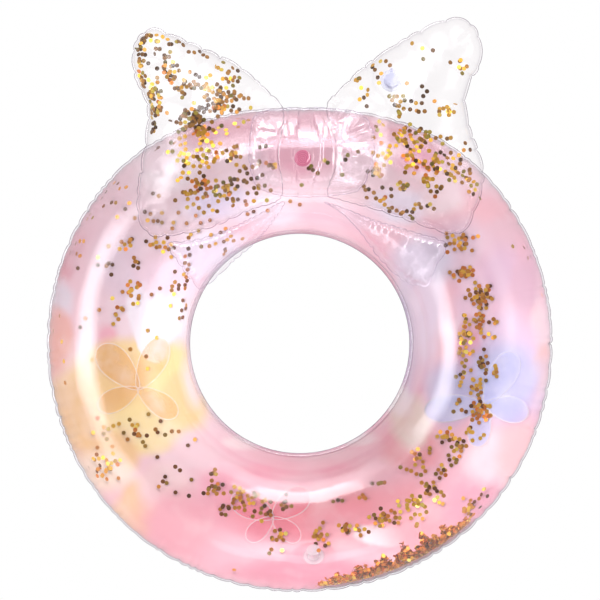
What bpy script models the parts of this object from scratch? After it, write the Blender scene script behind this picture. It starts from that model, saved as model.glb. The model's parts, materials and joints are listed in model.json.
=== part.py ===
"""Inflatable swim ring with an inflated bow, sealed confetti and two push-in air valves.

The ring is two annular films welded along an outer and an inner seam.  The bow is five small
chambers on the ring's crest: two loops (the ears), two tails and the knot, each made of a front
and a back film.  Metres, +Z up, +Y towards the bow, resting on z = 0, origin under the middle of
the overall box.  Outlines are drawn about the ring's centre and then moved by RING_Y.
"""

import math

import bmesh
import bpy
import numpy as np
from mathutils import Matrix, Vector
from mathutils.geometry import delaunay_2d_cdt

MM = 0.001

# Films and seams
FILM = 0.4 * MM
WELD_GAP = 0.3 * MM
BOW_SEAM = 5 * MM

# Ring
RING_REACH = 345 * MM
HOLE_REACH = 150 * MM
OUTER_SEAM = 7 * MM
INNER_SEAM = 4 * MM
CREST_RADIUS = 246 * MM
TUBE_HALF_HEIGHT = 92 * MM
BOW_SQUEEZE = 23 * MM
BOW_SQUEEZE_SPREAD = math.radians(30)
FOOT_SQUEEZE = 6 * MM
FOOT_SQUEEZE_SPREAD = math.radians(35)
RING_STEPS = 48
HALF_TUBE_STEPS = 9

# Bow outlines, in millimetres about the ring's centre
LEFT_LOOP = [
    (-21, 307), (-44, 337), (-83, 371), (-125, 392), (-168, 411), (-194, 420), (-214, 408),
    (-222, 384), (-218, 353), (-203, 319), (-202, 290), (-208, 245), (-214, 199), (-211, 163),
    (-194, 143), (-160, 145), (-115, 155), (-65, 178), (-24, 196), (-28, 251),
]
RIGHT_LOOP = [
    (35, 311), (54, 338), (83, 367), (122, 395), (166, 421), (201, 434), (228, 427), (241, 400),
    (239, 370), (225, 345), (220, 319), (226, 284), (238, 251), (243, 221), (235, 186),
    (220, 154), (199, 145), (154, 159), (100, 178), (54, 191), (36, 201), (50, 251),
]
LEFT_TAIL = [
    (-20, 189), (-49, 146), (-89, 110), (-127, 76), (-141, 81), (-160, 108), (-174, 133),
    (-144, 138), (-110, 147), (-62, 169),
]
RIGHT_TAIL = [
    (31, 189), (59, 171), (84, 144), (106, 114), (138, 84), (158, 78), (170, 79), (180, 103),
    (193, 133), (154, 148), (96, 166), (58, 181),
]
KNOT = [
    (-58, 301), (-65, 270), (-66, 240), (-56, 208), (-26, 197), (4, 195), (44, 196), (78, 203),
    (92, 230), (97, 258), (92, 286), (76, 304), (40, 311), (4, 313), (-30, 310),
]
KNOT_X = 4 * MM
WELD_SPOT = (4 * MM, 246 * MM)
WELD_SPOT_RADIUS = 11 * MM
WELD_SPOT_HEIGHT = 1 * MM

# Bow heights
SADDLE_CURVE = 4.5
EAR_SLOPE = 0.12
EAR_SOFTEN = 20 * MM
LOOP_FULLNESS = 0.7
TAIL_FULLNESS = 0.55
KNOT_FULLNESS = 0.62
BOW_SEAM_RISE = 9 * MM
KNOT_CENTRE_RISE = 5 * MM
KNOT_SHOULDER_RISE = 27 * MM
REST_GAP = 1.3 * MM
STACK_GAP = 2.6 * MM
LAP = 20 * MM
GRID = 4 * MM
RELAX_ROUNDS = 260
BOW_SPACING = 17 * MM

# Valves, along their own axis: w is 0 at the film and grows outwards
BOW_VALVE = (123 * MM, 353 * MM)
VALVE_HOLE = 15.3 * MM
VALVE_FLAT = 18.5 * MM
FLANGE_RADIUS = 15 * MM
FLANGE_HALF = 0.8 * MM
NECK_RADIUS = 8.3 * MM
NECK_BORE = 4.2 * MM
NECK_DEPTH = 15 * MM
LIP_RADIUS = 10.5 * MM
LIP_TOP = 2.6 * MM
PLUG_SHANK = 3.9 * MM
PLUG_DEPTH = 6 * MM
PLUG_HEAD = 7.6 * MM
PLUG_HEAD_THICK = 1.6 * MM
RUN_GAP = 0.3 * MM
FLAP_RADIUS = 5.4 * MM
FLAP_THICK = 0.5 * MM
STRAP_WIDTH = 3.6 * MM
STRAP_THICK = 0.9 * MM
ROUND_STEPS = 20

# Confetti
DISC_RADIUS = 3 * MM
DISC_THICK = 0.2 * MM
DISC_STEPS = 12
DISC_CLEARANCE = 6 * MM
RING_DISCS = [(-128, -70), (-150, -55), (-172, -60), (165, -48), (148, -62), (24, -66), (4, -50),
              (-18, -64), (-34, -52), (-62, -66)]
LOOP_DISCS = {"left": [(-165, 340), (-130, 250)], "right": [(160, 330), (130, 240)]}
HEAP_START = math.radians(-82)
HEAP_END = math.radians(-36)
HEAP_SIDE = math.radians(-14)
HEAP_HALF_WIDTH = 14 * MM
HEAP_HALF_THICK = 2.4 * MM

COLOURS = {
    "clear": ((0.93, 0.90, 0.93, 0.35), 0.08, 0.0),
    "print": ((0.92, 0.62, 0.74, 1.0), 0.2, 0.0),
    "bow": ((0.95, 0.86, 0.90, 0.4), 0.08, 0.0),
    "valve": ((0.86, 0.90, 0.84, 0.7), 0.35, 0.0),
    "weld": ((0.90, 0.50, 0.66, 1.0), 0.3, 0.0),
    "gold": ((0.72, 0.47, 0.10, 1.0), 0.3, 0.9),
}


# ---------------------------------------------------------------- meshes and materials

def material(slot):
    existing = bpy.data.materials.get(slot)
    if existing:
        return existing
    colour, roughness, metallic = COLOURS[slot]
    made = bpy.data.materials.new(slot)
    made.use_nodes = True
    shader = made.node_tree.nodes["Principled BSDF"]
    shader.inputs["Base Color"].default_value = colour
    shader.inputs["Alpha"].default_value = colour[3]
    shader.inputs["Roughness"].default_value = roughness
    shader.inputs["Metallic"].default_value = metallic
    return made


def add_object(name, points, faces, slot, place=None):
    mesh = bpy.data.meshes.new(name)
    mesh.from_pydata([tuple(p) for p in points], [], faces)
    work = bmesh.new()
    work.from_mesh(mesh)
    bmesh.ops.recalc_face_normals(work, faces=work.faces)
    work.to_mesh(mesh)
    work.free()
    mesh.materials.append(material(slot))
    mesh.shade_smooth()
    mesh.set_sharp_from_angle(angle=math.radians(35))
    made = bpy.data.objects.new(name, mesh)
    bpy.context.collection.objects.link(made)
    if place is not None:
        made.matrix_world = place
    return made


def lathe(name, profile, slot, place, steps=ROUND_STEPS):
    """Turns a closed (radius, height) profile about the local Z axis; radius 0 points are poles."""
    points = []
    rings = []
    for radius, height in profile:
        if radius == 0:
            rings.append([len(points)] * steps)
            points.append((0, 0, height))
            continue
        rings.append(list(range(len(points), len(points) + steps)))
        for k in range(steps):
            turn = 2 * math.pi * k / steps
            points.append((radius * math.cos(turn), radius * math.sin(turn), height))
    faces = []
    for i, ring in enumerate(rings):
        following = rings[(i + 1) % len(rings)]
        if ring[0] == ring[1] and following[0] == following[1]:
            continue
        for k in range(steps):
            corners = [ring[k], ring[(k + 1) % steps], following[(k + 1) % steps], following[k]]
            faces.append(list(dict.fromkeys(corners)))
    return add_object(name, points, faces, slot, place)


def frame_at(point, outward, up):
    """A placing matrix whose Z axis is outward and whose Y axis leans towards up."""
    z_axis = Vector(outward).normalized()
    x_axis = Vector(up).cross(z_axis).normalized()
    y_axis = z_axis.cross(x_axis)
    turn = Matrix((x_axis, y_axis, z_axis)).transposed().to_4x4()
    return Matrix.Translation(Vector(point)) @ turn


# ---------------------------------------------------------------- the ring

def ring_reach(turn):
    """The outer seam's reach at an angle: the bow draws the ring in a little, and so does its foot."""
    from_bow = math.remainder(turn - math.pi / 2, 2 * math.pi)
    from_foot = math.remainder(turn + math.pi / 2, 2 * math.pi)
    bow_draw = BOW_SQUEEZE * math.exp(-(from_bow / BOW_SQUEEZE_SPREAD) ** 2)
    foot_draw = FOOT_SQUEEZE * math.exp(-(from_foot / FOOT_SQUEEZE_SPREAD) ** 2)
    return RING_REACH - bow_draw - foot_draw


LAND_SINE = math.sin(math.pi / 2 - math.pi / HALF_TUBE_STEPS / 2)
SEAM_Z = WELD_GAP / 2 + (TUBE_HALF_HEIGHT + FILM) * LAND_SINE
CREST_Z = 2 * SEAM_Z


def half_width(turn, side):
    """The tube's half width from its crest to the inside of a seam; side is 1 outwards, -1 inwards."""
    if side > 0:
        return ring_reach(turn) - OUTER_SEAM - CREST_RADIUS
    return CREST_RADIUS - HOLE_REACH - INNER_SEAM


def tube_point(turn, roll, shrink=0.0):
    """A point on the tube: turn goes round the ring, roll round the tube from its outer seam up."""
    side = 1 if math.cos(roll) >= 0 else -1
    reach = CREST_RADIUS + (half_width(turn, side) - shrink) * math.cos(roll)
    height = SEAM_Z + (TUBE_HALF_HEIGHT - shrink) * math.sin(roll)
    return Vector((reach * math.cos(turn), reach * math.sin(turn), height))


def ring_film(name, slot, flip):
    """One annular film. flip is 1 for the front film and -1 for the back film."""
    rows = []
    for step in range(RING_STEPS):
        turn = 2 * math.pi * step / RING_STEPS
        inner_face = [(ring_reach(turn), 0.0)]
        outer_face = [(ring_reach(turn), FILM)]
        for k in range(HALF_TUBE_STEPS + 1):
            roll = math.pi * k / HALF_TUBE_STEPS
            side = 1 if math.cos(roll) >= 0 else -1
            width = half_width(turn, side)
            rise = math.sin(roll)
            inner_face.append((CREST_RADIUS + width * math.cos(roll), TUBE_HALF_HEIGHT * rise))
            lift = max((TUBE_HALF_HEIGHT + FILM) * rise, FILM)
            outer_face.append((CREST_RADIUS + (width + FILM) * math.cos(roll), lift))
        inner_face.append((HOLE_REACH, 0.0))
        outer_face.append((HOLE_REACH, FILM))
        section = inner_face + outer_face[::-1]
        for reach, lift in section:
            height = SEAM_Z + flip * (WELD_GAP / 2 + lift)
            rows.append((reach * math.cos(turn), reach * math.sin(turn) + RING_Y, height))
    count = len(rows) // RING_STEPS
    faces = []
    for step in range(RING_STEPS):
        here = step * count
        there = (step + 1) % RING_STEPS * count
        for k in range(count):
            after = (k + 1) % count
            faces.append([here + k, here + after, there + after, there + k])
    return add_object(name, rows, faces, slot)


def ring_top(x, y):
    """Height of the ring's front film over the point x, y; far below where the ring is not there."""
    reach = np.hypot(x, y)
    turn = np.arctan2(y, x)
    outer = np.vectorize(lambda t: half_width(t, 1))(turn)
    width = np.where(reach > CREST_RADIUS, outer, half_width(0.0, -1)) + FILM
    inside = np.clip(1 - ((reach - CREST_RADIUS) / width) ** 2, 0, None)
    dome = SEAM_Z + WELD_GAP / 2 + (TUBE_HALF_HEIGHT + FILM) * np.sqrt(inside)
    return np.where(inside > 0, dome, -1.0)


# ---------------------------------------------------------------- outlines and pillow heights

def smooth_outline(points, spacing):
    """A closed Catmull-Rom curve through the points, read at even steps, counter-clockwise."""
    nodes = np.array(points, dtype=float) * MM
    area = np.sum(nodes[:, 0] * np.roll(nodes[:, 1], -1) - np.roll(nodes[:, 0], -1) * nodes[:, 1])
    if area < 0:
        nodes = nodes[::-1]
    fine = []
    for i in range(len(nodes)):
        before, start, end, after = (nodes[(i + k) % len(nodes)] for k in (-1, 0, 1, 2))
        for t in np.linspace(0, 1, 16, endpoint=False):
            curve = (2 * start + (end - before) * t
                     + (2 * before - 5 * start + 4 * end - after) * t ** 2
                     + (3 * start - before - 3 * end + after) * t ** 3)
            fine.append(curve / 2)
    fine = np.array(fine + [fine[0]])
    run = np.concatenate([[0], np.cumsum(np.linalg.norm(np.diff(fine, axis=0), axis=1))])
    count = max(8, round(run[-1] / spacing))
    stops = np.linspace(0, run[-1], count, endpoint=False)
    return np.column_stack([np.interp(stops, run, fine[:, axis]) for axis in (0, 1)])


def inset(outline, depth):
    ahead = np.roll(outline, -1, axis=0) - np.roll(outline, 1, axis=0)
    ahead /= np.linalg.norm(ahead, axis=1)[:, None]
    return outline + depth * np.column_stack([-ahead[:, 1], ahead[:, 0]])


def inside(outline, x, y):
    """Even-odd test of points against a closed outline."""
    hit = np.zeros(np.shape(x), dtype=bool)
    for (x1, y1), (x2, y2) in zip(outline, np.roll(outline, -1, axis=0)):
        if y1 == y2:
            continue
        crosses = (y1 > y) != (y2 > y)
        hit ^= crosses & (x < (x2 - x1) * (y - y1) / (y2 - y1) + x1)
    return hit


def distance(outline, x, y):
    """Distance from points to a closed outline."""
    best = np.full(np.shape(x), 1e9)
    for start, end in zip(outline, np.roll(outline, -1, axis=0)):
        run = end - start
        along = ((x - start[0]) * run[0] + (y - start[1]) * run[1]) / max(run @ run, 1e-12)
        along = np.clip(along, 0, 1)
        best = np.minimum(best, np.hypot(x - start[0] - along * run[0], y - start[1] - along * run[1]))
    return best


GRID_X, GRID_Y = np.meshgrid(np.arange(-0.26, 0.28, GRID), np.arange(0.04, 0.47, GRID))


def on_grid(field, x, y):
    """Reads a grid field between its points."""
    column = np.clip((np.asarray(x) - GRID_X[0, 0]) / GRID, 0, field.shape[1] - 1.001)
    row = np.clip((np.asarray(y) - GRID_Y[0, 0]) / GRID, 0, field.shape[0] - 1.001)
    i, j = row.astype(int), column.astype(int)
    u, v = row - i, column - j
    low = field[i, j] * (1 - v) + field[i, j + 1] * v
    high = field[i + 1, j] * (1 - v) + field[i + 1, j + 1] * v
    return low * (1 - u) + high * u


def swell(chamber):
    """How far a film inflated inside this outline stands off its seam: a membrane under pressure."""
    mask = inside(chamber, GRID_X, GRID_Y)
    level = np.zeros_like(GRID_X)
    checker = (np.add.outer(np.arange(mask.shape[0]), np.arange(mask.shape[1])) % 2).astype(bool)
    for turn in range(RELAX_ROUNDS):
        for colour in (checker, ~checker):
            around = (np.roll(level, 1, 0) + np.roll(level, -1, 0)
                      + np.roll(level, 1, 1) + np.roll(level, -1, 1))
            target = (around + GRID ** 2) / 4
            level = np.where(mask & colour, level + 1.8 * (target - level), level)
    return np.sqrt(2 * np.clip(level, 0, None))


def smoothstep(value, low, high):
    t = np.clip((value - low) / (high - low), 0, 1)
    return t * t * (3 - 2 * t)


def saddle(x, y, ears):
    """The drop of a bow seam away from the ring's crest, inwards and outwards."""
    off = np.hypot(x, y) - CREST_RADIUS
    curved = SADDLE_CURVE * off ** 2
    sloped = EAR_SLOPE * (np.hypot(off, EAR_SOFTEN) - EAR_SOFTEN)
    return np.where((off > 0) & ears, sloped, curved)


def pinch(x):
    """The knot squeezes the loops' inner ends flat."""
    return 0.12 + 0.88 * smoothstep(np.abs(x - KNOT_X), 25 * MM, 120 * MM)


def chamber_heights(outline, seam, fullness, support, gap, squeeze=1.0):
    """Seam, front and back heights of one chamber over the grid, kept clear of what it lies on."""
    seam = np.maximum(seam, support + gap + FILM + WELD_GAP)
    rise = swell(inset(outline, BOW_SEAM)) * fullness * squeeze
    front = seam + WELD_GAP / 2 + rise
    back = np.maximum(seam - WELD_GAP / 2 - rise, support + gap + FILM)
    return {"seam": seam, "front": front, "back": back}


def pillow_points(outline, hole):
    """Flat points and triangles of one film: its seam margin, its chamber and an optional round hole."""
    margin = inset(outline, BOW_SEAM)
    points = [tuple(p) for p in outline] + [tuple(p) for p in margin]
    border = len(outline)
    edges = [(i, (i + 1) % border) for i in range(border)]
    edges += [(border + i, border + (i + 1) % border) for i in range(border)]
    keep_clear = []
    if hole:
        for radius in (VALVE_HOLE, VALVE_FLAT):
            first = len(points)
            for k in range(ROUND_STEPS):
                turn = 2 * math.pi * k / ROUND_STEPS
                points.append((hole[0] + radius * math.cos(turn), hole[1] + radius * math.sin(turn)))
            edges += [(first + k, first + (k + 1) % ROUND_STEPS) for k in range(ROUND_STEPS)]
            keep_clear.append((hole, radius))
    low, high = margin.min(axis=0), margin.max(axis=0)
    rows = np.arange(low[1], high[1], BOW_SPACING * math.sqrt(3) / 2)
    for number, y in enumerate(rows):
        for x in np.arange(low[0] + number % 2 * BOW_SPACING / 2, high[0], BOW_SPACING):
            here = (np.array(x), np.array(y))
            if not inside(margin, *here) or distance(margin, *here) < 0.55 * BOW_SPACING:
                continue
            if any(math.hypot(x - c[0], y - c[1]) < r + 0.5 * BOW_SPACING for c, r in keep_clear):
                continue
            points.append((float(x), float(y)))
    flat = [Vector(p) for p in points]
    made = delaunay_2d_cdt(flat, edges, [list(range(border))], 1, 1e-7)
    vertices = [tuple(v) for v in made[0]]
    triangles = []
    for face in made[2]:
        middle = sum((Vector(vertices[i]) for i in face), Vector((0, 0))) / len(face)
        if hole and (middle - Vector(hole)).length < VALVE_HOLE * math.cos(math.pi / ROUND_STEPS):
            continue
        triangles.append(list(face))
    used = sorted({i for face in triangles for i in face})
    renumber = {old: new for new, old in enumerate(used)}
    return np.array([vertices[i] for i in used]), [[renumber[i] for i in t] for t in triangles]


def pillow_film(name, slot, outline, heights, side, hole=None):
    """One film of a bow chamber: side is "front" or "back", the outer face lies on that side."""
    flat, triangles = pillow_points(outline, hole)
    flip = 1 if side == "front" else -1
    margin = inset(outline, BOW_SEAM)
    x, y = flat[:, 0], flat[:, 1]
    seam_height = on_grid(heights["seam"], x, y) + flip * WELD_GAP / 2
    face_height = on_grid(heights[side], x, y)
    on_seam = ~inside(margin, x, y) | (distance(margin, x, y) < 0.1 * MM)
    near = np.where(on_seam, seam_height, face_height)
    if hole:
        flat_part = np.hypot(x - hole[0], y - hole[1]) < VALVE_FLAT + 0.1 * MM
        near = np.where(flat_part, on_grid(heights[side], *hole), near)
    far = near + flip * FILM
    count = len(flat)
    points = [(px, py + RING_Y, pz) for (px, py), pz in zip(flat, near)]
    points += [(px, py + RING_Y, pz) for (px, py), pz in zip(flat, far)]
    faces = [list(t) for t in triangles] + [[i + count for i in reversed(t)] for t in triangles]
    uses = {}
    for a, b, c in triangles:
        for edge in ((a, b), (b, c), (c, a)):
            uses.setdefault(frozenset(edge), []).append(edge)
    for found in uses.values():
        if len(found) == 1:
            start, end = found[0]
            faces.append([end, start, start + count, end + count])
    return add_object(name, points, faces, slot)


# ---------------------------------------------------------------- valves

def valve(prefix, place):
    """A push-in valve: flange, neck, check flap, plug and the plug's strap."""
    holder = bpy.data.objects.new(prefix + "_axis", None)
    bpy.context.collection.objects.link(holder)
    holder.matrix_world = place
    pieces = [
        lathe(prefix + "_flange", [
            (NECK_RADIUS + RUN_GAP, -FLANGE_HALF), (FLANGE_RADIUS, -FLANGE_HALF),
            (FLANGE_RADIUS, FLANGE_HALF * 0.5), (FLANGE_RADIUS - 1.5 * MM, FLANGE_HALF),
            (NECK_RADIUS + RUN_GAP, FLANGE_HALF)], "valve", place),
        lathe(prefix + "_neck", [
            (NECK_BORE, -NECK_DEPTH), (NECK_RADIUS + 1.2 * MM, -NECK_DEPTH),
            (NECK_RADIUS + 1.2 * MM, -NECK_DEPTH + 1 * MM), (NECK_RADIUS, -NECK_DEPTH + 1.6 * MM),
            (NECK_RADIUS, FLANGE_HALF + RUN_GAP), (LIP_RADIUS, FLANGE_HALF + RUN_GAP),
            (LIP_RADIUS, LIP_TOP - 0.5 * MM), (LIP_RADIUS - 0.5 * MM, LIP_TOP),
            (NECK_BORE, LIP_TOP)], "valve", place),
        lathe(prefix + "_plug", [
            (0, LIP_TOP - PLUG_DEPTH), (PLUG_SHANK - 0.6 * MM, LIP_TOP - PLUG_DEPTH),
            (PLUG_SHANK, LIP_TOP - PLUG_DEPTH + 1 * MM), (PLUG_SHANK, LIP_TOP + RUN_GAP),
            (PLUG_HEAD, LIP_TOP + RUN_GAP), (PLUG_HEAD, LIP_TOP + RUN_GAP + PLUG_HEAD_THICK * 0.7),
            (PLUG_HEAD - 0.6 * MM, LIP_TOP + RUN_GAP + PLUG_HEAD_THICK),
            (0, LIP_TOP + RUN_GAP + PLUG_HEAD_THICK)], "valve", place),
        check_flap(prefix + "_flap", place),
        strap(prefix + "_strap", place),
    ]
    for piece in pieces:
        world = piece.matrix_world.copy()
        piece.parent = holder
        piece.matrix_parent_inverse = holder.matrix_world.inverted()
        piece.matrix_world = world


def check_flap(name, place):
    """A round flap over the neck's inner end, on a thin hinge at its edge; its origin is the hinge."""
    hinge = place @ Matrix.Translation((0, -(FLAP_RADIUS + 1 * MM), FLAP_HINGE_W))
    half = FLAP_THICK / 2
    rim = []
    for k in range(ROUND_STEPS + 1):
        turn = math.radians(-62) + math.radians(304) * k / ROUND_STEPS
        rim.append((FLAP_RADIUS * math.cos(turn), FLAP_RADIUS * math.sin(turn) + FLAP_RADIUS + 1 * MM))
    rim += [(-2 * MM, 0), (2 * MM, 0)]
    count = len(rim)
    points = [(x, y, -half) for x, y in rim] + [(x, y, half) for x, y in rim]
    faces = [list(range(count))[::-1], [count + i for i in range(count)]]
    faces += [[i, (i + 1) % count, count + (i + 1) % count, count + i] for i in range(count)]
    return add_object(name, points, faces, "valve", hinge)


FLAP_HINGE_W = -NECK_DEPTH - RUN_GAP - FLAP_THICK / 2 - 0.1 * MM


def strap(name, place):
    """A flat band that leaves the plug's head, bows outwards and comes back to the neck's lip."""
    head_w = LIP_TOP + RUN_GAP + PLUG_HEAD_THICK / 2
    lip_w = FLANGE_HALF + RUN_GAP + STRAP_THICK / 2 + 0.1 * MM
    start, end = PLUG_HEAD + 0.25 * MM, LIP_RADIUS + 0.35 * MM
    bend_height = (head_w - lip_w) / 2
    middle_w = (head_w + lip_w) / 2
    bend_reach = 15.5 * MM
    line = [(start, head_w)]
    for k in range(9):
        turn = math.pi / 2 - math.pi * k / 8
        line.append((bend_reach + 1.4 * bend_height * math.cos(turn),
                     middle_w + bend_height * math.sin(turn)))
    line.append((end, lip_w))
    points = []
    for i, (y, w) in enumerate(line):
        before, after = line[max(i - 1, 0)], line[min(i + 1, len(line) - 1)]
        run = Vector((after[0] - before[0], after[1] - before[1])).normalized()
        normal = Vector((-run.y, run.x)) * STRAP_THICK / 2
        for x, sign in ((-1, -1), (1, -1), (1, 1), (-1, 1)):
            points.append((x * STRAP_WIDTH / 2, y + sign * normal.x, w + sign * normal.y))
    faces = [[3, 2, 1, 0], [len(points) - 4 + i for i in range(4)]]
    for i in range(len(line) - 1):
        for k in range(4):
            after = (k + 1) % 4
            faces.append([4 * i + k, 4 * i + after, 4 * i + 4 + after, 4 * i + 4 + k])
    return add_object(name, points, faces, "valve", place)


def ring_valve_place():
    """The ring's valve sits square in one flat facet on the back, by the foot."""
    turn = -math.pi / 2 + math.pi / RING_STEPS
    roll = -math.pi / 2 + 2 * math.pi / HALF_TUBE_STEPS
    half_turn = math.pi / RING_STEPS
    half_roll = math.pi / HALF_TUBE_STEPS / 2
    corners = [tube_point(turn + i * half_turn, roll + j * half_roll)
               for i in (-1, 1) for j in (-1, 1)]
    centre = sum(corners, Vector()) / 4
    centre.z -= WELD_GAP / 2
    outward = (corners[2] - corners[0]).cross(corners[1] - corners[0]).normalized()
    if outward.z > 0:
        outward = -outward
    uphill = corners[1] - corners[0]
    return frame_at(centre + Vector((0, RING_Y, 0)) + outward * FILM / 2, outward, uphill)


def cut_round_hole(film, place):
    cutter = lathe("ring_valve_cutter", [(0, -4 * MM), (VALVE_HOLE, -4 * MM), (VALVE_HOLE, 4 * MM),
                                         (0, 4 * MM)], "valve", place)
    cutter.hide_render = True
    cutter.display_type = "WIRE"
    cut = film.modifiers.new("valve hole", "BOOLEAN")
    cut.operation = "DIFFERENCE"
    cut.solver = "EXACT"
    cut.object = cutter


# ---------------------------------------------------------------- confetti and the spot weld

def confetti_disc(name, point, outward):
    place = frame_at(point, outward, (0.3, 1, 0.2))
    half = DISC_THICK / 2
    lathe(name, [(0, -half), (DISC_RADIUS, -half), (DISC_RADIUS, half), (0, half)], "gold", place,
          DISC_STEPS)


def ring_confetti():
    for number, (turn, roll) in enumerate(RING_DISCS, 1):
        turn, roll = math.radians(turn), math.radians(roll)
        point = tube_point(turn, roll, DISC_CLEARANCE)
        outward = Vector((math.cos(turn) * math.cos(roll), math.sin(turn) * math.cos(roll), math.sin(roll)))
        confetti_disc(f"ring_confetti_{number:02d}", point + Vector((0, RING_Y, 0)), outward)


def loop_confetti(side, heights):
    for number, (x, y) in enumerate(LOOP_DISCS[side], 1):
        height = float(on_grid(heights["back"], x * MM, y * MM)) + DISC_CLEARANCE
        confetti_disc(f"{side}_loop_confetti_{number}", (x * MM, y * MM + RING_Y, height), (0.05, 0.1, 1))


def confetti_heap():
    """The drift of confetti against the tube's outer wall: a long lens that follows the wall."""
    steps, around = 14, 8
    points = [tuple(tube_point(HEAP_START, HEAP_SIDE, DISC_CLEARANCE + 1 * MM))]
    for i in range(1, steps):
        part = i / steps
        turn = HEAP_START + (HEAP_END - HEAP_START) * part
        size = math.sqrt(1 - (2 * part - 1) ** 2)
        for k in range(around):
            angle = 2 * math.pi * k / around
            roll = HEAP_SIDE + HEAP_HALF_WIDTH * size * math.cos(angle) / TUBE_HALF_HEIGHT
            depth = DISC_CLEARANCE + 1 * MM + HEAP_HALF_THICK * size * math.sin(angle)
            points.append(tuple(tube_point(turn, roll, depth)))
    points.append(tuple(tube_point(HEAP_END, HEAP_SIDE, DISC_CLEARANCE + 1 * MM)))
    faces = [[0, 1 + (k + 1) % around, 1 + k] for k in range(around)]
    for i in range(steps - 2):
        for k in range(around):
            here, after = 1 + i * around + k, 1 + i * around + (k + 1) % around
            faces.append([here, after, after + around, here + around])
    last = 1 + (steps - 2) * around
    faces += [[last + k, last + (k + 1) % around, len(points) - 1] for k in range(around)]
    points = [(x, y + RING_Y, z) for x, y, z in points]
    return add_object("confetti_heap", points, faces, "gold")


def weld_spot():
    place = Matrix.Translation((WELD_SPOT[0], WELD_SPOT[1] + RING_Y, CREST_Z + RUN_GAP))
    lathe("knot_weld_spot", [
        (0, 0), (WELD_SPOT_RADIUS, 0), (WELD_SPOT_RADIUS, WELD_SPOT_HEIGHT * 0.6),
        (WELD_SPOT_RADIUS - 0.5 * MM, WELD_SPOT_HEIGHT), (0, WELD_SPOT_HEIGHT)], "weld", place)


# ---------------------------------------------------------------- the whole float

def build():
    for old in list(bpy.data.objects):
        bpy.data.objects.remove(old, do_unlink=True)

    ring_film("ring_front_film", "clear", 1)
    ring_back = ring_film("ring_back_film", "print", -1)
    ring_place = ring_valve_place()
    cut_round_hole(ring_back, ring_place)
    valve("ring_valve", ring_place)

    ring_cover = ring_top(GRID_X, GRID_Y)
    crest = CREST_Z + BOW_SEAM_RISE
    loop_seam = crest - saddle(GRID_X, GRID_Y, True)
    tail_seam = crest - saddle(GRID_X, GRID_Y, False)
    loop_fronts = []
    for side, points in (("left", LEFT_LOOP), ("right", RIGHT_LOOP)):
        outline = smooth_outline(points, BOW_SPACING)
        heights = chamber_heights(outline, loop_seam, LOOP_FULLNESS, ring_cover, REST_GAP, pinch(GRID_X))
        hole = BOW_VALVE if side == "right" else None
        pillow_film(side + "_loop_front_film", "bow", outline, heights, "front")
        pillow_film(side + "_loop_back_film", "bow", outline, heights, "back", hole)
        loop_confetti(side, heights)
        covered = inside(outline, GRID_X, GRID_Y) | (distance(outline, GRID_X, GRID_Y) < LAP)
        loop_fronts.append(np.where(covered, heights["front"] + FILM, -1.0))
        if hole:
            height = float(on_grid(heights["back"], *hole)) - FILM / 2
            spot = (hole[0], hole[1] + RING_Y, height)
            valve("bow_valve", frame_at(spot, (0, 0, -1), (0, 1, 0)))

    for side, points in (("left", LEFT_TAIL), ("right", RIGHT_TAIL)):
        outline = smooth_outline(points, BOW_SPACING * 0.8)
        heights = chamber_heights(outline, tail_seam, TAIL_FULLNESS, ring_cover, REST_GAP)
        pillow_film(side + "_tail_front_film", "bow", outline, heights, "front")
        pillow_film(side + "_tail_back_film", "bow", outline, heights, "back")

    outline = smooth_outline(KNOT, BOW_SPACING * 0.85)
    shoulder = smoothstep(np.abs(GRID_X - KNOT_X), 22 * MM, 60 * MM)
    lift = KNOT_CENTRE_RISE + (KNOT_SHOULDER_RISE - KNOT_CENTRE_RISE) * shoulder
    knot_seam = CREST_Z + lift - saddle(GRID_X, GRID_Y, False)
    under = np.maximum(ring_cover, np.maximum(*loop_fronts))
    heights = chamber_heights(outline, knot_seam, KNOT_FULLNESS, under, STACK_GAP)
    pillow_film("knot_front_film", "bow", outline, heights, "front")
    pillow_film("knot_back_film", "bow", outline, heights, "back")

    weld_spot()
    ring_confetti()
    confetti_heap()


def bow_top():
    """The highest point of both loops' outlines along Y."""
    return max(smooth_outline(points, BOW_SPACING)[:, 1].max() for points in (LEFT_LOOP, RIGHT_LOOP))


RING_Y = (ring_reach(-math.pi / 2) - bow_top()) / 2

build()
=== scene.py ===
"""Looks of the inflatable swim ring: clear welded films, a printed back, a bow, glitter and valves.

Metres, +Z up, +Y towards the bow.  Outlines and patches are in millimetres about the ring's centre.
"""

import json
import math

import bmesh
import bpy
import numpy as np
from mathutils import Matrix, Vector
from mathutils.geometry import delaunay_2d_cdt


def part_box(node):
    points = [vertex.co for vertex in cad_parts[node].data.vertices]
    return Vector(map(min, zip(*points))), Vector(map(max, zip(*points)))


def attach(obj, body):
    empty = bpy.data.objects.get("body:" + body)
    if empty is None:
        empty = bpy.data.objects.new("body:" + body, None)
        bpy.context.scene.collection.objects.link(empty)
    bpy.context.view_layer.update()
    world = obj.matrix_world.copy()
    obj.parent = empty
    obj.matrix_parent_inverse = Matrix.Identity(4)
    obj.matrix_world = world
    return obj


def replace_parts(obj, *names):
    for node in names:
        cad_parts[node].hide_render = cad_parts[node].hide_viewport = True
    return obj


MM = 0.001
TAU = 2 * math.pi

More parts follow.
